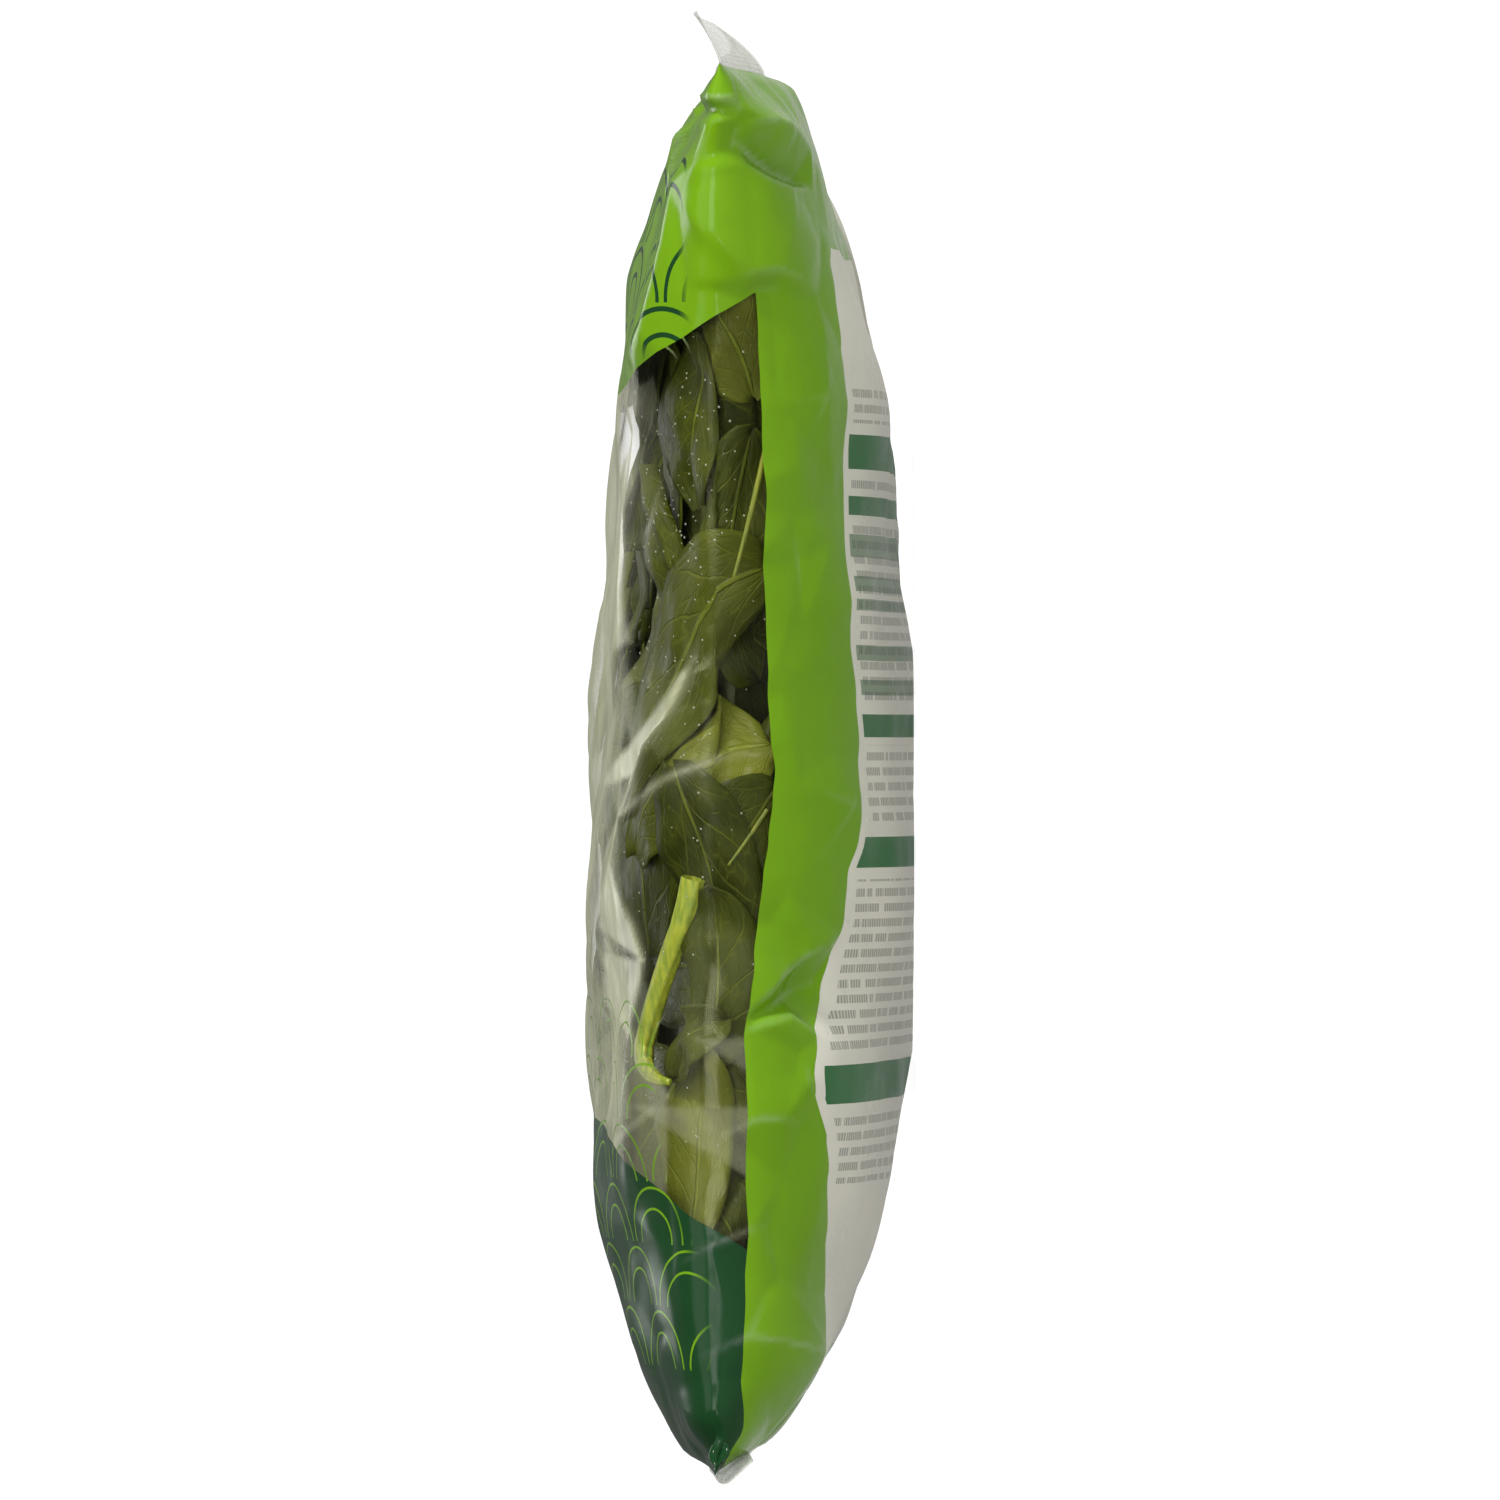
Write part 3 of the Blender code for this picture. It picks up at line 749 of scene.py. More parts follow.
def field_edges(distance):
    """Where each printed field starts along the bag, from the bottom up, at a distance round the film."""
    distance = np.abs(distance)
    across = np.minimum(distance / WINDOW_SIDE, 1)
    dark_top = DARK_FIELD_CENTRE_Y + (DARK_FIELD_SIDE_Y - DARK_FIELD_CENTRE_Y) * across**DARK_FIELD_POWER
    lime_bottom = LIME_FIELD_CENTRE_Y + (LIME_FIELD_SIDE_Y - LIME_FIELD_CENTRE_Y) * across**LIME_FIELD_POWER
    on_back = np.clip((distance - BACK_START) / SIDE_BLEND, 0, 1)
    dark_top = dark_top + (PANEL_BOTTOM_Y - dark_top) * on_back
    lime_bottom = lime_bottom + (PANEL_TOP_Y - lime_bottom) * on_back
    bottom_end, top_end = BOTTOM_SEAL_Y - CRIMP_LENGTH, TOP_SEAL_Y + CRIMP_LENGTH
    seals = [np.full_like(distance, y) for y in (bottom_end, BOTTOM_SEAL_Y, TOP_SEAL_Y, top_end)]
    return np.stack([seals[0], seals[1], dark_top, lime_bottom, seals[2], seals[3]], axis=-1)


# How many rows of cells each field has along the bag, and how many columns round it. The +X side is the finer
ROW_CELLS = (12, 50, 190, 60, 14)
COLUMN_CELLS = (18, 22, 48, 92, 44, 34)


def film_lines(cells):
    """The sheet's lines in one direction, as the field each lies in and its share of that field."""
    return [(0, 0.0)] + [(field, (i + 1) / count) for field, count in enumerate(cells) for i in range(count)]


def edge_distances(line, rows, guess):
    """The distance at which each row of the sheet crosses one of the band's edges."""
    field, share = np.array(rows).T
    field = field.astype(int)
    row = np.arange(len(rows))
    distance = np.full(len(rows), guess)
    for _ in range(14):
        ends = field_edges(distance)
        y = ends[row, field] + share * (ends[row, field + 1] - ends[row, field])
        distance = (distance + smooth_line(line, sealed_in(y))) / 2
    return distance


def film_grid():
    """Distance and y of each point of the sheet, and the cell counts. Lines follow the print's edges."""
    rows = film_lines(ROW_CELLS)
    columns = film_lines(COLUMN_CELLS)
    window = edge_distances(WINDOW_EDGE, rows, WINDOW_SIDE)
    panel = edge_distances(PANEL_EDGE, rows, PANEL_SIDE)
    edge = np.full_like(window, FLAT_WIDTH)
    edges = np.stack([-edge, -panel, -window, 0 * edge, window, panel, edge], axis=-1)
    distance = np.empty((len(rows), len(columns)))
    for column, (field, share) in enumerate(columns):
        if field in (2, 3):
            share = share**1.25 if field == 2 else 1 - (1 - share) ** 1.25
        distance[:, column] = edges[:, field] + share * (edges[:, field + 1] - edges[:, field])
    y = np.empty_like(distance)
    for row, (field, share) in enumerate(rows):
        ends = field_edges(distance[row])
        y[row] = ends[:, field] + share * (ends[:, field + 1] - ends[:, field])
    return distance, y, rows, columns


def field_of(row, column):
    """The material of a cell of the sheet, by its row's and column's fields. The crimps' ends are clear."""
    if row[0] in (0, 4):
        return "clear_crimp"
    if column[0] in (1, 4) or row[0] == 3:
        return "lime_print"
    if column[0] in (0, 5):
        return "white_print" if row[0] == 2 else "lime_print"
    return "clear_window" if row[0] == 2 else "dark_green_print"


# Patches of painted reflection that whiten the clear film: corners as (y, z) in millimetres, and how white
PAINTED_REFLECTION_PATCHES = (
    (((18.9, 55.4), (-9.7, 79.2), (-6.1, 67.1)), 0.55),
    (((-28.5, 73.2), (-51.3, 65.9), (-43.4, 78.8)), 0.60),
    (((-51.3, 65.9), (-69.1, 69.1), (-50.6, 78.8)), 0.55),
    (((-43.4, 76.8), (-69.1, 69.1), (-62.6, 78.2)), 0.50),
    (((-70.2, 52.7), (-69.8, 38.3), (-79.0, 40.7)), 0.16),
    (((-86.7, 67.1), (-103.5, 41.9), (-86.7, 41.9)), 0.16),
    (((76.8, 71.8), (21.5, 75.9), (26.3, 68.1)), 0.35),
    (((-52.0, 77.0), (-100.0, 75.0), (-84.0, 59.0)), 0.22),
    (((-84.0, 59.0), (-114.0, 62.0), (-98.0, 76.0)), 0.18),
)


# The patches fade towards the front's middle, from here on, where an even painted reflection takes over
PATCHES_START_X = 0.054
PATCHES_BLEND = 0.018
FRONT_SIDE = 0.088
FRONT_PAINTED_REFLECTION = 0.11


def painted_reflection_patch(y, z, corners, amount, soft=1.5):
    """One three-cornered patch of painted reflection, with soft sides."""
    inside = np.full(np.shape(y), 1.0)
    middle_y, middle_z = (sum(corner[axis] for corner in corners) / 3 for axis in (0, 1))
    for (ay, az), (by, bz) in zip(corners, corners[1:] + corners[:1]):
        length = math.hypot(by - ay, bz - az)
        off = ((y - ay) * (bz - az) - (z - az) * (by - ay)) / length
        side = ((middle_y - ay) * (bz - az) - (middle_z - az) * (by - ay)) / length
        inside = np.minimum(inside, np.clip(off * math.copysign(1, side) / soft + 0.5, 0, 1))
    return amount * inside


def painted_film_reflection(distance, y):
    """Whitening of the clear film, all painted: patches of painted reflection, painted highlights along its
    folds, creases and raised facets, and an even painted reflection over the front.
    """
    places = smooth_places(distance, sealed_in(y))
    x, z = places[..., 0], places[..., 2]
    lying = near_side_y(x, y)
    haze_and_painted_reflection = sum(painted_reflection_patch(1000 * lying, 1000 * z, corners, amount) for corners, amount in PAINTED_REFLECTION_PATCHES)
    # Painted highlights along the window's creases.
    for crease in CREASES[-WINDOW_CREASES:]:
        for start, end in zip(crease, crease[1:]):
            along = fold(1000 * lying, 1000 * z, start, end, 1.0, 0.8)
            haze_and_painted_reflection = haze_and_painted_reflection + 0.12 * (start[2] + end[2]) * np.clip(along, 0, 1)
    haze_and_painted_reflection = haze_and_painted_reflection * np.clip((np.abs(x) - PATCHES_START_X) / PATCHES_BLEND, 0, 1)
    # Painted highlights on raised facets and along every crease, then an even painted reflection over the
    # front.
    haze_and_painted_reflection = haze_and_painted_reflection + 0.03 * np.clip(facets(distance, y) / 0.0012, 0, 1)
    haze_and_painted_reflection = haze_and_painted_reflection + 0.22 * facets(distance, sealed_in(y), CREASE_LINES)
    return haze_and_painted_reflection + FRONT_PAINTED_REFLECTION * np.clip((FRONT_SIDE - np.abs(distance)) / SIDE_BLEND, 0, 1)


def motif_zone(distance, y):
    """Where the line pattern shows: two loose patches on the front, which end between two rows of arcs."""
    upper = np.clip((y - 0.094) / 0.004, 0, 1) * np.clip((0.1442 - y) / 0.0012, 0, 1)
    upper = upper * np.clip((0.118 - np.abs(distance)) / 0.004, 0, 1)
    lower = np.clip((y + 0.1508) / 0.0012, 0, 1) * np.clip((-0.0608 - y) / 0.0012, 0, 1)
    lower = lower * np.clip((0.112 + 0.5 * (-0.100 - y).clip(0, 0.03) - np.abs(distance)) / 0.004, 0, 1)
    return upper + lower


class SPINACH_OT_film(bpy.types.Operator):
    """Make the bag's film: one closed skin with its crimps, folds and printed fields"""

    bl_idname = "spinach.film"
    bl_label = "Make the Film"

    def execute(self, context):
        settings = context.scene.spinach_film
        distance, y, rows, columns = film_grid()
        places = film_places(distance, y)
        mesh = bmesh.new()
        bmesh.ops.create_grid(mesh, x_segments=len(columns) - 1, y_segments=len(rows) - 1, size=0.5)
        uv = mesh.loops.layers.uv.new("film")
        # The clear film's painted reflection is kept as a vertex attribute.
        values = {"haze_and_painted_reflection": painted_film_reflection(distance, y), "motif": motif_zone(distance, y)}
        # Painted highlights along the creases, for the print.
        values["crease"] = facets(distance, sealed_in(y), CREASE_LINES)
        values["margin"] = np.abs(distance) - smooth_line(PANEL_EDGE, sealed_in(y))
        layers = {name: mesh.verts.layers.float.new(name) for name in values}
        cell = {}
        for vertex in mesh.verts:
            row, column = cell[vertex.index] = grid_cell(vertex, len(rows) - 1, len(columns) - 1)
            vertex.co = places[row, column]
            for name, layer in layers.items():
                vertex[layer] = values[name][row, column]
        for face in mesh.faces:
            corners = [cell[vertex.index] for vertex in face.verts]
            row, column = (max(corner[axis] for corner in corners) for axis in (0, 1))
            face.material_index = FILM_FIELDS.index(field_of(rows[row], columns[column]))
            for loop, corner in zip(face.loops, corners):
                loop[uv].uv = (distance[corner], y[corner])
        close_skin(mesh)
        lime, dark = settings.lime, settings.dark_green
        materials = [
            crimp_material(),
            window_material(settings),
            patterned_material("lime_print", lime, dark, BROAD_ARCS),
            patterned_material("dark_green_print", dark, lime, FINE_ARCS),
            white_material(settings),
        ]
        film = object_of(mesh, "film", materials)
        stands_for_bag(film)
        return {"FINISHED"}


PILE_CELL = 0.002
FULL_SWELL = 0.045


class Pile:
    """How high the leaves lie, cell by cell round and along the film. The smooth surface is at 0."""

    def __init__(self):
        self.distance = np.arange(-FLAT_WIDTH, FLAT_WIDTH + PILE_CELL / 2, PILE_CELL)
        self.y = np.arange(BOTTOM_SEAL_Y, TOP_SEAL_Y, PILE_CELL)
        distance, y = np.meshgrid(self.distance, self.y)
        places = smooth_places(distance, y)
        raised = relief(distance, y, places[..., 0], places[..., 2])
        lowest = raised.copy()
        for rows in (-1, 0, 1):
            for columns in (-1, 0, 1):
                lowest = np.minimum(lowest, np.roll(raised, (rows, columns), (0, 1)))
        self.ceiling = lowest - FILM_CLEARANCE
        self.floor = -PILE_DEPTH * room(y)
        self.top = self.floor.copy()

    def cells(self, distance, y):
        return (y - BOTTOM_SEAL_Y) / PILE_CELL, (distance + FLAT_WIDTH) / PILE_CELL

    def read(self, table, distance, y):
        return look_up(table, *self.cells(distance, y))

    def write(self, table, distance, y, height, keep):
        """Sets the cells under a leaf to its height, where keep, maximum or minimum, prefers it."""
        fine = [spread(spread(values).T).T for values in (distance, y, height)]
        row, column = (np.rint(values).astype(int) for values in self.cells(fine[0], fine[1]))
        inside = (row >= 0) & (row < table.shape[0]) & (column >= 0) & (column < table.shape[1])
        keep.at(table, (row[inside], column[inside]), fine[2][inside])


def room(y):
    """How much of the pile's depth fits at y, from 0 at a seal to 1 along the full part."""
    return np.clip((swell(y, FRONT) + swell(y, BACK)) / FULL_SWELL - 0.12, 0.02, 1)


def spread(values, times=4):
    """Adds even steps between the rows of a table."""
    at = np.linspace(0, len(values) - 1, (len(values) - 1) * times + 1)
    low = np.minimum(at.astype(int), len(values) - 2)
    share = (at - low)[:, None]
    return values[low] * (1 - share) + values[low + 1] * share


def eased(height):
    """A table with each value moved to the mean of its neighbours."""
    wide = np.pad(height, 1, mode="edge")
    return (wide[:-2, 1:-1] + wide[2:, 1:-1] + wide[1:-1, :-2] + wide[1:-1, 2:]) / 4


class Leaf:
    """One leaf's blade as a small grid on the film's own distances: rows run from its base to its tip."""

    def __init__(self, base, heading, length, width, tone, folded=0.0, cells=(10, 14), lift=0.0, seed=0):
        draw = random.Random(seed)
        self.tone, self.columns, self.rows, self.lift = tone, cells[0] + 1, cells[1] + 1, lift
        side = np.linspace(-1, 1, self.columns)
        self.u = (np.sign(side) * np.abs(side) ** 1.15)[None, :] * np.ones((self.rows, 1))
        self.v = np.linspace(0, 1, self.rows)[:, None] * np.ones((1, self.columns))
        outline = 0.012 + self.v**0.55 * (1 - self.v) ** 0.5 * 2.067
        round_tip = outline * (1 + 0.05 * np.sin(self.v * 11 + seed))
        across = self.u * round_tip * width / 2
        along = self.v * length + 0.06 * length * np.abs(self.u) ** 1.5 * (self.v - 0.55)
        wave_height, waves = draw.uniform(0.0006, 0.0017), draw.uniform(7, 15)
        wave = wave_height * np.abs(self.u) ** 1.5 * np.sin(self.v * waves + self.u * 2 + seed)
        cup = draw.uniform(-0.0012, 0.0022) * self.u**2
        if folded:
            over = np.clip((self.u - (1 - folded)) / folded, 0, None) * folded
            across = across - 1.85 * np.maximum(across - (1 - folded) * round_tip * width / 2, 0)
            cup = cup + 0.0028 * np.clip(over * 5, 0, 1)
        self.shape = wave + cup - 0.0006 * np.exp(-((self.u / 0.12) ** 2))
        bend = draw.uniform(-0.5, 0.5)
        turn = heading + bend * (self.v - 0.3)
        self.distance = base[0] + along * np.sin(turn) + across * np.cos(turn)
        y = base[1] + along * np.cos(turn) - across * np.sin(turn)
        self.y = np.clip(y, LEAVES_BOTTOM_Y, LEAVES_TOP_Y)
        self.height = None

    def settle(self, pile):
        """Lays the leaf on the pile. It is stiff enough to bridge small gaps."""
        under = pile.read(pile.top, self.distance, self.y) + 0.0009
        height = under + 0.0004 + self.shape + self.lift
        for _ in range(7):
            height = np.maximum(eased(height), under)
        self.height = height + 0.6 * self.shape
        pile.write(pile.top, self.distance, self.y, self.height, np.maximum)

    def press(self, pile, lid):
        """Pushes the leaf down under what lies over it, from the film inwards."""
        limit = pile.read(lid, self.distance, self.y)
        for _ in range(2):
            self.height = np.minimum(eased(self.height) * 0.5 + self.height * 0.5, limit)
        pile.write(lid, self.distance, self.y, self.height - 0.0008, np.minimum)


# The leaves that show best on the side that faces +X: base and tip as (y, z), width, tone, fold and lift
SIDE_LEAVES = (
    ((0.0120, 0.0671), (-0.0025, 0.0768), 0.0240, 0.55, 0.0, 0.0),
    ((-0.0260, 0.0715), (-0.0020, 0.0600), 0.0240, 0.62, 0.0, 0.0),
    ((-0.1215, 0.0407), (-0.0990, 0.0540), 0.0230, 0.45, 0.0, 0.0),
    ((0.0850, 0.0360), (0.1130, 0.0500), 0.0300, 0.78, 0.0, 0.0),
    ((0.0996, 0.0585), (0.0640, 0.0640), 0.0300, 0.45, 0.0, 0.0),
    ((0.0770, 0.0360), (0.0330, 0.0470), 0.0340, 0.30, 0.0, 0.0015),
    ((0.0270, 0.0655), (0.0700, 0.0680), 0.0250, 0.60, 0.42, 0.0010),
    ((0.0010, 0.0320), (-0.0040, 0.0620), 0.0290, 0.95, 0.0, 0.0),
    ((0.0440, 0.0330), (0.0150, 0.0740), 0.0400, 0.64, 0.0, 0.0020),
    ((-0.0090, 0.0330), (-0.0400, 0.0540), 0.0310, 0.34, 0.0, 0.0),
    ((-0.0045, 0.0605), (-0.0560, 0.0420), 0.0330, 0.22, 0.0, 0.0010),
    ((-0.0760, 0.0530), (-0.0400, 0.0420), 0.0280, 0.52, 0.0, 0.0010),
    ((-0.1190, 0.0575), (-0.0750, 0.0600), 0.0360, 0.88, 0.0, 0.0015),
    ((-0.0800, 0.0645), (-0.0610, 0.0540), 0.0150, 0.60, 0.0, 0.0015),
)
GAPS_SEEN = ((0.044, 0.058, 0.010), (-0.076, 0.048, 0.008), (0.028, 0.067, 0.005))


def scattered_leaves(settings):
    """Leaves all over the window, drawn so that each new one falls where few lie yet."""
    draw = random.Random(2024)
    gaps = [(side_distance(y, z), y, size) for y, z, size in GAPS_SEEN]
    leaves, middles = [], []
    for index in range(settings.count):
        tries = []
        for _ in range(6):
            middle = (draw.uniform(-0.172, 0.172), draw.uniform(-0.138, 0.124))
            near = min((math.dist(middle, other) for other in middles[-60:]), default=1.0)
            tries.append((near, middle))
        middle = max(tries)[1]
        middles.append(middle)
        shorter = min(1, 0.55 + 0.45 * float(room(np.array(middle[1]))))
        length = settings.length * draw.uniform(0.72, 1.28) * shorter
        heading = draw.uniform(-math.pi, math.pi)
        base = (middle[0] - length / 2 * math.sin(heading), middle[1] - length / 2 * math.cos(heading))
        folded = draw.choice((0, 0, 0, 0.3, 0.45, 0.7))
        width = length * draw.uniform(0.58, 0.74)
        on_near_side = 0.088 < middle[0] < 0.150
        if index > settings.count * 0.55 and on_near_side:
            continue
        in_gap = any(math.dist(middle, gap[:2]) < gap[2] + length / 3 for gap in gaps)
        if index > settings.count * 0.3 and in_gap:
            continue
        tone = draw.uniform(0.05, 0.80)
        leaves.append(Leaf(base, heading, length, width, tone, folded, (9, 13), seed=index))
    return leaves


def side_leaves():
    leaves = []
    for index, (base, tip, width, tone, folded, lift) in enumerate(SIDE_LEAVES):
        start, end = ((side_distance(*place), place[0]) for place in (base, tip))
        length = math.dist(start, end) * 1.12
        heading = math.atan2(end[0] - start[0], end[1] - start[1])
        leaves.append(Leaf(start, heading, length, width, tone, folded, (16, 24), lift, seed=900 + index))
    return leaves


def leaf_material(settings):
    """A spinach blade: olive green, mottled, with a pale midrib, side veins and a fine net between them."""
    nodes = Nodes("leaf")
    uv = nodes.uv()
    wander = nodes.put("TexNoise", {"Vector": uv, "Scale": 3.0, "Detail": 2.0})
    bent = nodes.put("Mix", {0: 0.06}, data_type="RGBA", blend_type="ADD")
    nodes.join(uv, bent.inputs[6])
    nodes.join(wander.outputs["Color"], bent.inputs[7])
    split = nodes.put("SeparateXYZ", {0: bent.outputs[2]})
    u = nodes.math("ABSOLUTE", nodes.math("SUBTRACT", split.outputs["X"], 0.03))
    v = split.outputs["Y"]
    taper = nodes.ramp(v, 0.0, 1.0, 1.6, 0.6)
    rib = nodes.ramp(nodes.math("DIVIDE", u, taper), 0.022, 0.050, 1.0, 0.0)
    curve = nodes.times(nodes.math("POWER", u, 0.75), 1.9)
    climb = nodes.math("SUBTRACT", nodes.times(v, 4.6), curve)
    off = nodes.math("ABSOLUTE", nodes.math("SUBTRACT", nodes.math("FRACT", climb), 0.5))
    fading = nodes.ramp(u, 0.50, 0.95, 1.0, 0.10)
    side_vein = nodes.times(nodes.ramp(off, 0.020, 0.055, 1.0, 0.0), fading)
    net = nodes.put("TexVoronoi", {"Vector": bent.outputs[2], "Scale": 8.0}, feature="DISTANCE_TO_EDGE")
    fine = nodes.times(nodes.ramp(net.outputs["Distance"], 0.0, 0.07, 1.0, 0.0), 0.30)
    veins = nodes.math("MAXIMUM", nodes.math("MAXIMUM", rib, nodes.times(side_vein, 0.50)), fine)
    tone = nodes.attribute("tone")
    blade = settings.colour
    deep = tuple(part * 0.50 for part in blade)
    dark = tuple(part * share for part, share in zip(blade, (0.42, 0.46, 0.60)))
    pale = tuple(part * share for part, share in zip(blade, (4.2, 3.6, 16.0)))
    tint = nodes.mix(nodes.ramp(tone, 0.0, 0.5), colour4(dark), colour4(blade))
    tint = nodes.mix(nodes.ramp(tone, 0.5, 1.0), tint, colour4(pale))
    mottle = nodes.noise(nodes.place(), 140.0, 5.0)
    broad = nodes.noise(nodes.place(), 38.0, 3.0)
    tint = nodes.mix(nodes.ramp(broad, 0.35, 0.70, 0.0, 0.40), tint, colour4(deep))
    tint = nodes.mix(nodes.ramp(mottle, 0.35, 0.75, 0.0, 0.16), tint, colour4(pale))
    tint = nodes.mix(nodes.times(veins, 0.42), tint, (0.22, 0.26, 0.020, 1))
    cells = nodes.put("TexVoronoi", {"Vector": bent.outputs[2], "Scale": 4.5}, feature="SMOOTH_F1")
    quilt = nodes.times(cells.outputs["Distance"], 0.55)
    swollen = nodes.math("SUBTRACT", nodes.times(mottle, 0.20), quilt)
    sunk = nodes.times(nodes.math("MAXIMUM", side_vein, fine), -0.45)
    nodes.bump(nodes.math("ADD", nodes.math("ADD", rib, sunk), swollen), 0.0010, 0.75)
    nodes.shader.inputs["Specular IOR Level"].default_value = 0.14
    return nodes.finish(Base_Color=tint, Roughness=nodes.ramp(mottle, 0.3, 0.7, 0.36, 0.52))


def add_blade(mesh, leaf, tone_layer, uv):
    """Adds one leaf to a mesh as a grid, moved to its place."""
    across, along = leaf.columns - 1, leaf.rows - 1
    grid = bmesh.ops.create_grid(mesh, x_segments=across, y_segments=along, size=0.5)["verts"]
    places = smooth_places(leaf.distance, leaf.y) + outward(leaf.distance, leaf.y) * leaf.height[..., None]
    cells = {}
    for vertex in grid:
        cells[vertex] = grid_cell(vertex, along, across)
        vertex.co = places[cells[vertex]]
        vertex[tone_layer] = leaf.tone
    for face in {face for vertex in grid for face in vertex.link_faces}:
        for loop in face.loops:
            cell = cells[loop.vert]
            loop[uv].uv = (leaf.u[cell], leaf.v[cell])


def blades(name, leaves, material):
    mesh = bmesh.new()
    tone_layer = mesh.verts.layers.float.new("tone")
    uv = mesh.loops.layers.uv.new("film")
    for leaf in leaves:
        add_blade(mesh, leaf, tone_layer, uv)
    made = object_of(mesh, name, [material])
    thicken = made.modifiers.new("Thickness", "SOLIDIFY")
    thicken.thickness = LEAF_THICKNESS
    thicken.offset = -1.0
    stands_for_bag(made)


class SPINACH_OT_leaves(bpy.types.Operator):
    """Make the leaves: a pile laid under the film, leaf on leaf, with the ones that show best on top"""

    bl_idname = "spinach.leaves"
    bl_label = "Make the Leaves"

    def execute(self, context):
        settings = context.scene.spinach_leaves
        pile = Pile()
        loose, shown = scattered_leaves(settings), side_leaves()
        for leaf in loose + shown:
            leaf.settle(pile)
        lid = pile.ceiling.copy()
        for leaf in reversed(loose + shown):
            leaf.press(pile, lid)
        material = leaf_material(settings)
        blades("loose_leaves", loose, material)
        blades("side_leaves", shown, material)
        return {"FINISHED"}


def core_places(distance, y):
    """The heap's dark inside, a little under the deepest leaves."""
    depth = (PILE_DEPTH + 0.0025) * room(y) + 0.0012
    return smooth_places(distance, y) - outward(distance, y) * depth[..., None]


CORE_BOTTOM_Y, CORE_TOP_Y = -0.158, 0.147
CORE_ROWS, CORE_COLUMNS = 60, 96
CORE_LOWEST_Z = 0.004


class SPINACH_OT_core(bpy.types.Operator):
    """Make the dark inside of the heap, which closes the gaps between the leaves"""

    bl_idname = "spinach.core"
    bl_label = "Make the Heap's Inside"

    def execute(self, context):
        round_film = np.linspace(-FLAT_WIDTH, FLAT_WIDTH, CORE_COLUMNS + 1)
        along_bag = np.linspace(CORE_BOTTOM_Y, CORE_TOP_Y, CORE_ROWS + 1)
        places = core_places(*np.meshgrid(round_film, along_bag))
        places[..., 2] = np.maximum(places[..., 2], CORE_LOWEST_Z)
        mesh = bmesh.new()
        bmesh.ops.create_grid(mesh, x_segments=CORE_COLUMNS, y_segments=CORE_ROWS, size=0.5)
        for vertex in mesh.verts:
            vertex.co = places[grid_cell(vertex, CORE_ROWS, CORE_COLUMNS)]
        close_skin(mesh)
        nodes = Nodes("heap_inside")
        lumps = nodes.noise(nodes.place(), 60.0, 4.0)
        nodes.bump(lumps, 0.004, 1.0)
        tint = nodes.mix(lumps, (0.036, 0.042, 0.012, 1), (0.085, 0.096, 0.025, 1))
        core = object_of(mesh, "heap_inside", [nodes.finish(Base_Color=tint, Roughness=0.6)])
        stands_for_bag(core)
        return {"FINISHED"}


def facing(direction):
    """The turn that points a thing's Z along a direction."""
    return direction.to_track_quat("Z", "Y").to_matrix().to_4x4()


# The thick cut stalk on the side that faces +X, from its cut end to where it thins out round a folded leaf
CUT_STALK = (
    (-0.0314, 0.0573), (-0.0374, 0.0587), (-0.0434, 0.0604), (-0.0501, 0.0628),
    (-0.0566, 0.0647), (-0.0626, 0.0662), (-0.0674, 0.0671), (-0.0722, 0.0679),
    (-0.0761, 0.0674), (-0.0790, 0.0655), (-0.0804, 0.0628), (-0.0807, 0.0599),
)
CUT_STALK_RADIUS = 0.0030
# Shares of the way along the cut stalk, and its radius there as a share of the full one
CUT_STALK_TAPER = (0, 0.04, 0.35, 0.7, 0.85, 1.0), (1.02, 1.0, 0.95, 0.88, 0.6, 0.26)

# Thin leaf stalks under the film: each is a line of (y, z) and its radius at the start and at the end
LEAF_STALKS = (
    (
        ((0.0800, 0.0330), (0.0706, 0.0358), (0.0620, 0.0384), (0.0530, 0.0410), (0.0407, 0.0446)),
        0.0010, 0.0004,
    ),
    (((-0.0148, 0.0357), (-0.0215, 0.0405), (-0.0282, 0.0457)), 0.0006, 0.0003),
)


def line_on_film(line, count):
    """Even steps along a line given as (y, z) on the +X side: distances, y and the share of the way."""
    stations = np.array([(side_distance(y, z), y) for y, z in line])
    share = np.linspace(0, 1, count)
    steps = share * (len(stations) - 1)
    at = np.arange(len(stations))
    return np.interp(steps, at, stations[:, 0]), np.interp(steps, at, stations[:, 1]), share


def add_stalk(mesh, distance, y, height, radius, sides=14, ribs=0.07):
    """Adds a ribbed stalk along a line on the film's own distances, as a circle drawn along it."""
    ups = outward(distance, y)
    centres = smooth_places(distance, y) + ups * height[:, None]
    ring = bmesh.ops.create_circle(mesh, cap_ends=True, segments=sides, radius=1.0)["verts"]
    rings = [list(ring)]
    face = ring[0].link_faces[0]
    for _ in range(len(centres) - 1):
        face = bmesh.ops.extrude_discrete_faces(mesh, faces=[face])["faces"][0]
        rings.append(list(face.verts))
    for index, verts in enumerate(rings):
        ahead = Vector(centres[min(index + 1, len(centres) - 1)] - centres[max(index - 1, 0)]).normalized()
        up = Vector(ups[index])
        side = ahead.cross(up).normalized()
        up = side.cross(ahead)
        for step, vertex in enumerate(verts):
            turn = 2 * math.pi * step / sides
            out = radius[index] * (1 + ribs * math.cos(turn * 7))
            vertex.co = Vector(centres[index]) + (side * math.cos(turn) + up * 0.85 * math.sin(turn)) * out


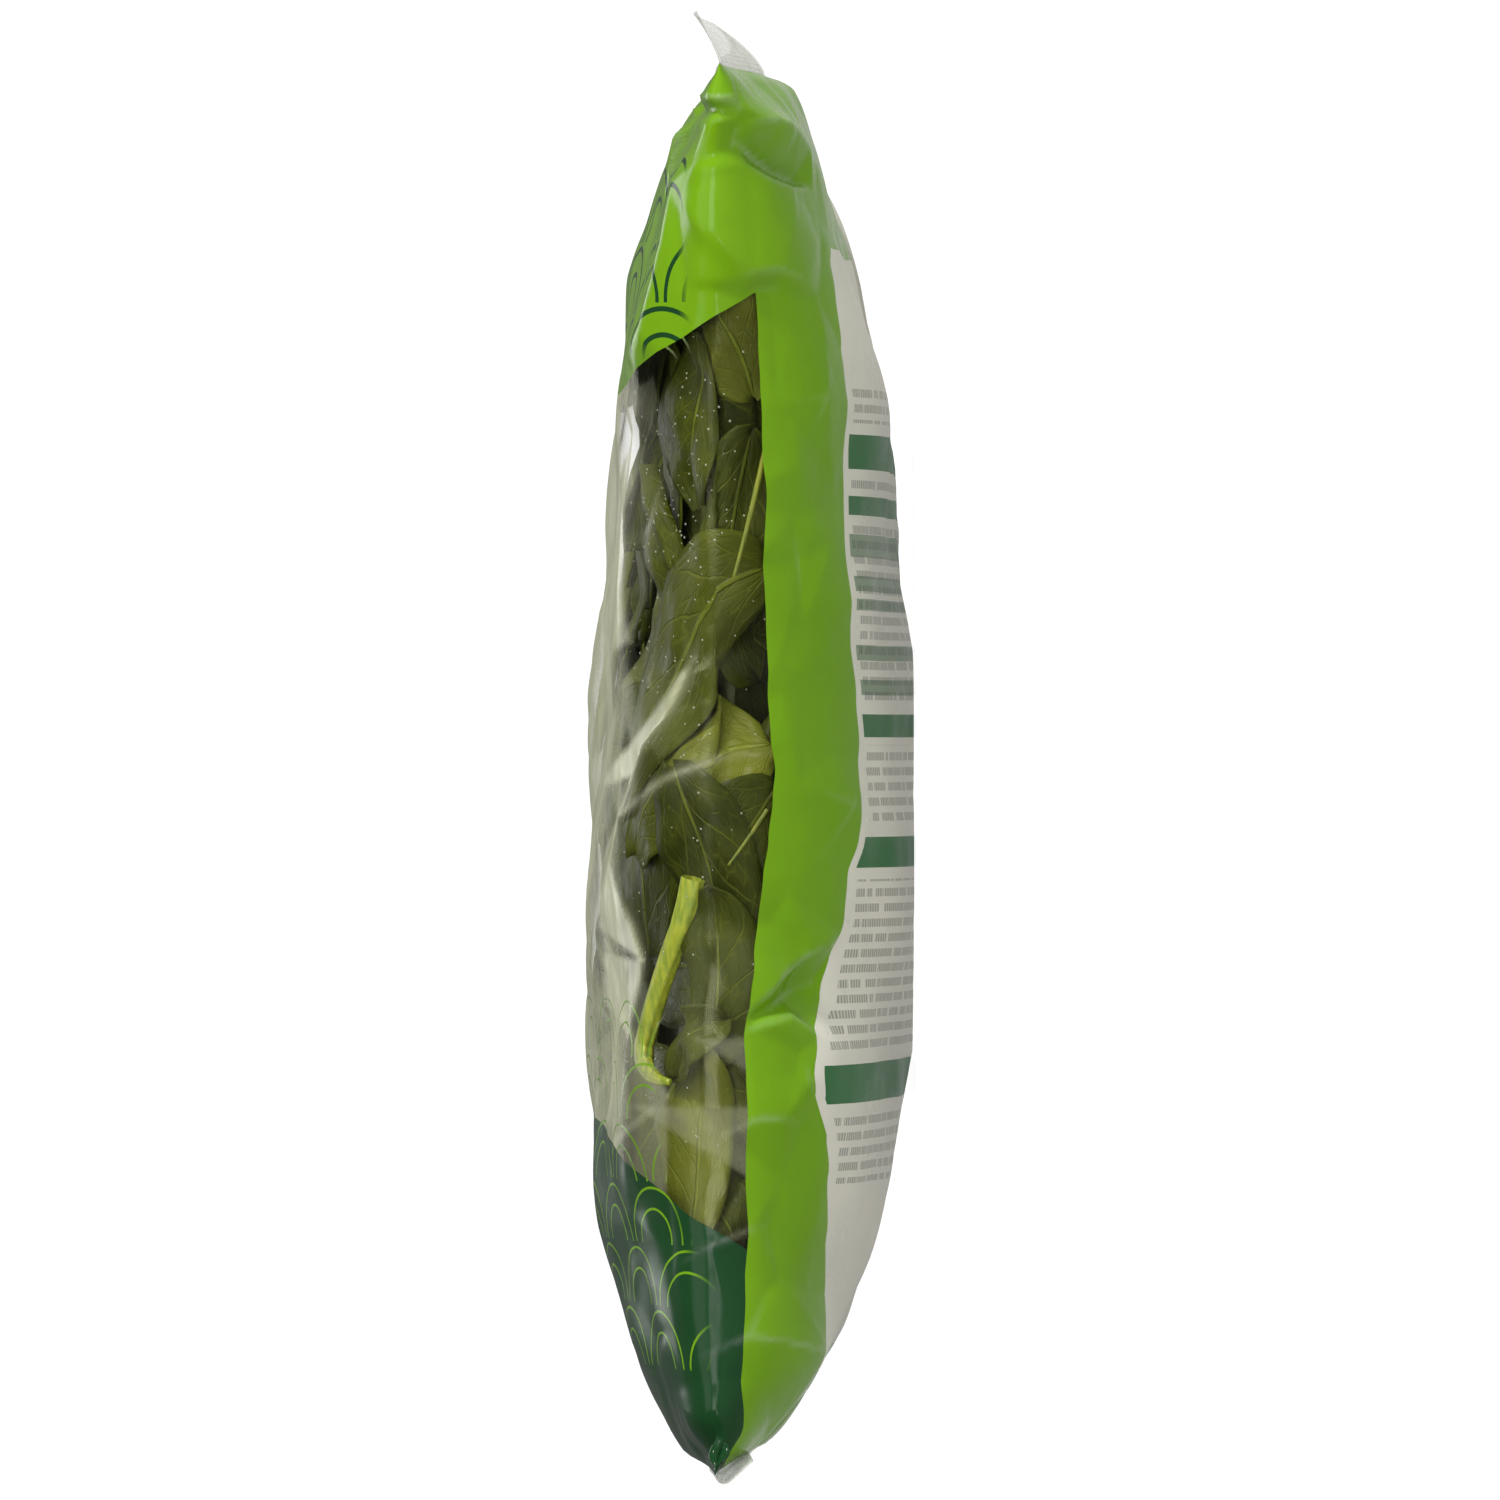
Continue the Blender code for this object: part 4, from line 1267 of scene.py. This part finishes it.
def stalk_material(name, colour):
    nodes = Nodes(name)
    stretched = nodes.put("Mapping", {"Vector": nodes.place(), "Scale": (6.0, 1.0, 6.0)}).outputs[0]
    fibre = nodes.noise(stretched, 130.0, 4.0)
    pale = tuple(part * 1.18 for part in colour)
    green = (colour[0] * 0.62, colour[1] * 0.78, colour[2])
    tint = nodes.mix(nodes.ramp(fibre, 0.3, 0.7), colour4(green), colour4(pale))
    nodes.bump(fibre, 0.0005, 0.6)
    return nodes.finish(Base_Color=tint, Roughness=0.38)


def straighten(height, times):
    """Evens out a stalk's heights, in place, with its two ends kept."""
    for _ in range(times):
        height[1:-1] = (height[:-2] + height[2:]) / 2


def finish_stalks(mesh, name, colour):
    bmesh.ops.recalc_face_normals(mesh, faces=mesh.faces)
    stands_for_bag(object_of(mesh, name, [stalk_material(name, colour)]))


class SPINACH_OT_stalks(bpy.types.Operator):
    """Make the stalks: the thick cut one at the side, and thinner ones among the leaves"""

    bl_idname = "spinach.stalks"
    bl_label = "Make the Stalks"

    def execute(self, context):
        settings = context.scene.spinach_leaves
        mesh = bmesh.new()
        pile = Pile()
        distance, y, share = line_on_film(CUT_STALK, 45)
        radius = CUT_STALK_RADIUS * np.interp(share, *CUT_STALK_TAPER)
        height = pile.read(pile.ceiling, distance, y) - radius * 0.85
        straighten(height, 60)
        add_stalk(mesh, distance, y, height, radius, 28)
        finish_stalks(mesh, "stalks", settings.stalk)
        mesh = bmesh.new()
        for line, start, end in LEAF_STALKS:
            distance, y, share = line_on_film(line, 19)
            radius = start + (end - start) * share
            height = pile.read(pile.ceiling, distance, y) + 0.0003 - radius
            straighten(height, 12)
            add_stalk(mesh, distance, y, height, radius, 10, 0.0)
        finish_stalks(mesh, "leaf_stalks", tuple(part * 0.55 for part in settings.stalk))
        return {"FINISHED"}


DROPS = 420
DROPS_NEAR_SIDE = 230
DROP_SINK = 0.0003


class SPINACH_OT_drops(bpy.types.Operator):
    """Make the small drops of water inside the window"""

    bl_idname = "spinach.drops"
    bl_label = "Make the Drops"

    def execute(self, context):
        draw = random.Random(77)
        mesh = bmesh.new()
        for index in range(DROPS):
            near = index < DROPS_NEAR_SIDE
            distance = draw.gauss(0.112, 0.014) if near else draw.uniform(-0.130, 0.130)
            y = draw.choice((draw.uniform(-0.10, 0.10), draw.gauss(0.055, 0.022)))
            size = draw.uniform(0.00016, 0.00038)
            place = np.array([[distance]]), np.array([[y]])
            normal = Vector(outward(*place)[0, 0])
            centre = Vector(film_places(*place)[0, 0]) - normal * DROP_SINK
            flat = Matrix.Diagonal((1, 1, 0.5, 1))
            put = Matrix.Translation(centre) @ facing(normal) @ flat
            bmesh.ops.create_icosphere(mesh, subdivisions=1, radius=size, matrix=put)
        water = Nodes("water").finish(Base_Color=(0.55, 0.58, 0.42, 1), Roughness=0.08, Alpha=0.35)
        stands_for_bag(object_of(mesh, "drops", [water]))
        return {"FINISHED"}


def soft_light(name, place, target, size, power):
    data = bpy.data.lights.new(name, "AREA")
    data.shape = "RECTANGLE"
    data.size, data.size_y = size
    data.energy = power
    light = bpy.data.objects.new(name, data)
    light.matrix_world = Matrix.Translation(place) @ facing(Vector(place) - Vector(target))
    bpy.context.scene.collection.objects.link(light)


# The soft lights: name, place, target, size and times the key power
SIDE_MIDDLE = (0.05, 0.0, 0.04)
BAG_MIDDLE = (0, 0, 0.04)
LIGHTS = (
    ("key_light", (1.0, 1.7, 0.75), SIDE_MIDDLE, (0.4, 0.4), 2.3),
    ("front_light", (2.4, 0.1, 0.9), SIDE_MIDDLE, (1.0, 1.0), 1.4),
    ("top_light", (0.9, 0.2, 1.5), BAG_MIDDLE, (1.2, 1.2), 0.55),
    ("back_light", (-1.7, 0.1, 1.5), BAG_MIDDLE, (0.9, 0.9), 0.35),
    ("upper_strip", (2.2, 0.62, 0.30), SIDE_MIDDLE, (0.5, 0.16), 0.14),
    ("lower_strip", (2.2, -0.62, 0.16), SIDE_MIDDLE, (0.5, 0.16), 0.14),
)
FLOOR_Z = -0.0004


# The photo's frame at the bag's near side: its height, and the place at its middle
FRAME_HEIGHT = 0.3654
FRAME_MIDDLE = Vector((0.09, -0.0003, 0.0407))


class SPINACH_OT_studio(bpy.types.Operator):
    """Make the white studio: floor, soft lights and the camera that looks at the bag's side"""

    bl_idname = "spinach.studio"
    bl_label = "Make the Studio"

    def execute(self, context):
        settings = context.scene.spinach_studio
        mesh = bmesh.new()
        just_under = Matrix.Translation((0, 0, FLOOR_Z))
        bmesh.ops.create_grid(mesh, x_segments=1, y_segments=1, size=1.1, matrix=just_under)
        nodes = Nodes("white_floor")
        nodes.shader.inputs["Emission Color"].default_value = (1, 1, 1, 1)
        seen = nodes.put("LightPath").outputs["Is Camera Ray"]
        glow = nodes.put("MapRange", {0: seen, 3: 0.33, 4: 0.93}).outputs[0]
        white = nodes.finish(Base_Color=(0.36, 0.36, 0.355, 1), Roughness=0.9, Emission_Strength=glow)
        floor = object_of(mesh, "floor", [white], smooth=False)

        world = bpy.data.worlds.new("white_studio")
        context.scene.world = world
        world.use_nodes = True
        tree = world.node_tree
        seen = tree.nodes.new("ShaderNodeLightPath").outputs["Is Camera Ray"]
        strength = tree.nodes.new("ShaderNodeMapRange")
        strength.inputs["To Min"].default_value = settings.fill
        strength.inputs["To Max"].default_value = 1.1
        tree.links.new(seen, strength.inputs["Value"])
        tree.nodes["Background"].inputs["Color"].default_value = (1.0, 1.0, 1.0, 1)
        tree.links.new(strength.outputs["Result"], tree.nodes["Background"].inputs["Strength"])

        for name, place, target, size, share in LIGHTS:
            soft_light(name, place, target, size, settings.key * share)

        data = bpy.data.cameras.new("camera")
        data.lens, data.sensor_width, data.clip_end = settings.lens, 36.0, 50.0
        camera = bpy.data.objects.new("camera", data)
        away = FRAME_HEIGHT * settings.lens / data.sensor_width
        right, up, back = Vector((0, 0, -1)), Vector((0, 1, 0)), Vector((1, 0, 0))
        turn = Matrix((right, up, back)).transposed().to_4x4()
        camera.matrix_world = Matrix.Translation(FRAME_MIDDLE + back * away) @ turn
        context.scene.collection.objects.link(camera)
        context.scene.camera = camera
        context.scene.view_settings.view_transform = "Standard"
        return {"FINISHED"}


class SPINACH_PT_panel(bpy.types.Panel):
    """The spinach bag's tools"""

    bl_idname = "SPINACH_PT_panel"
    bl_label = "Bag of Spinach"
    bl_space_type = "VIEW_3D"
    bl_region_type = "UI"
    bl_category = "Spinach"

    def draw(self, context):
        layout = self.layout
        for group in (context.scene.spinach_film, context.scene.spinach_leaves, context.scene.spinach_studio):
            box = layout.box()
            for name in group.bl_rna.properties.keys():
                if name not in ("rna_type", "name"):
                    box.prop(group, name)
        for operator in OPERATORS:
            layout.operator(operator.bl_idname)


OPERATORS = (
    SPINACH_OT_film, SPINACH_OT_core, SPINACH_OT_leaves,
    SPINACH_OT_stalks, SPINACH_OT_drops, SPINACH_OT_studio,
)
GROUPS = {"spinach_film": FilmSettings, "spinach_leaves": LeafSettings, "spinach_studio": StudioSettings}


def register():
    for group in GROUPS.values():
        bpy.utils.register_class(group)
    for name, group in GROUPS.items():
        setattr(bpy.types.Scene, name, bpy.props.PointerProperty(type=group))
    for made in OPERATORS + (SPINACH_PT_panel,):
        bpy.utils.register_class(made)


def unregister():
    for made in reversed(OPERATORS + (SPINACH_PT_panel,)):
        bpy.utils.unregister_class(made)
    for name in GROUPS:
        delattr(bpy.types.Scene, name)
    for group in reversed(GROUPS.values()):
        bpy.utils.unregister_class(group)


def main():
    register()
    bpy.ops.spinach.film()
    bpy.ops.spinach.core()
    bpy.ops.spinach.leaves()
    bpy.ops.spinach.stalks()
    bpy.ops.spinach.drops()
    bpy.ops.spinach.studio()


if __name__ == "__main__":
    main()
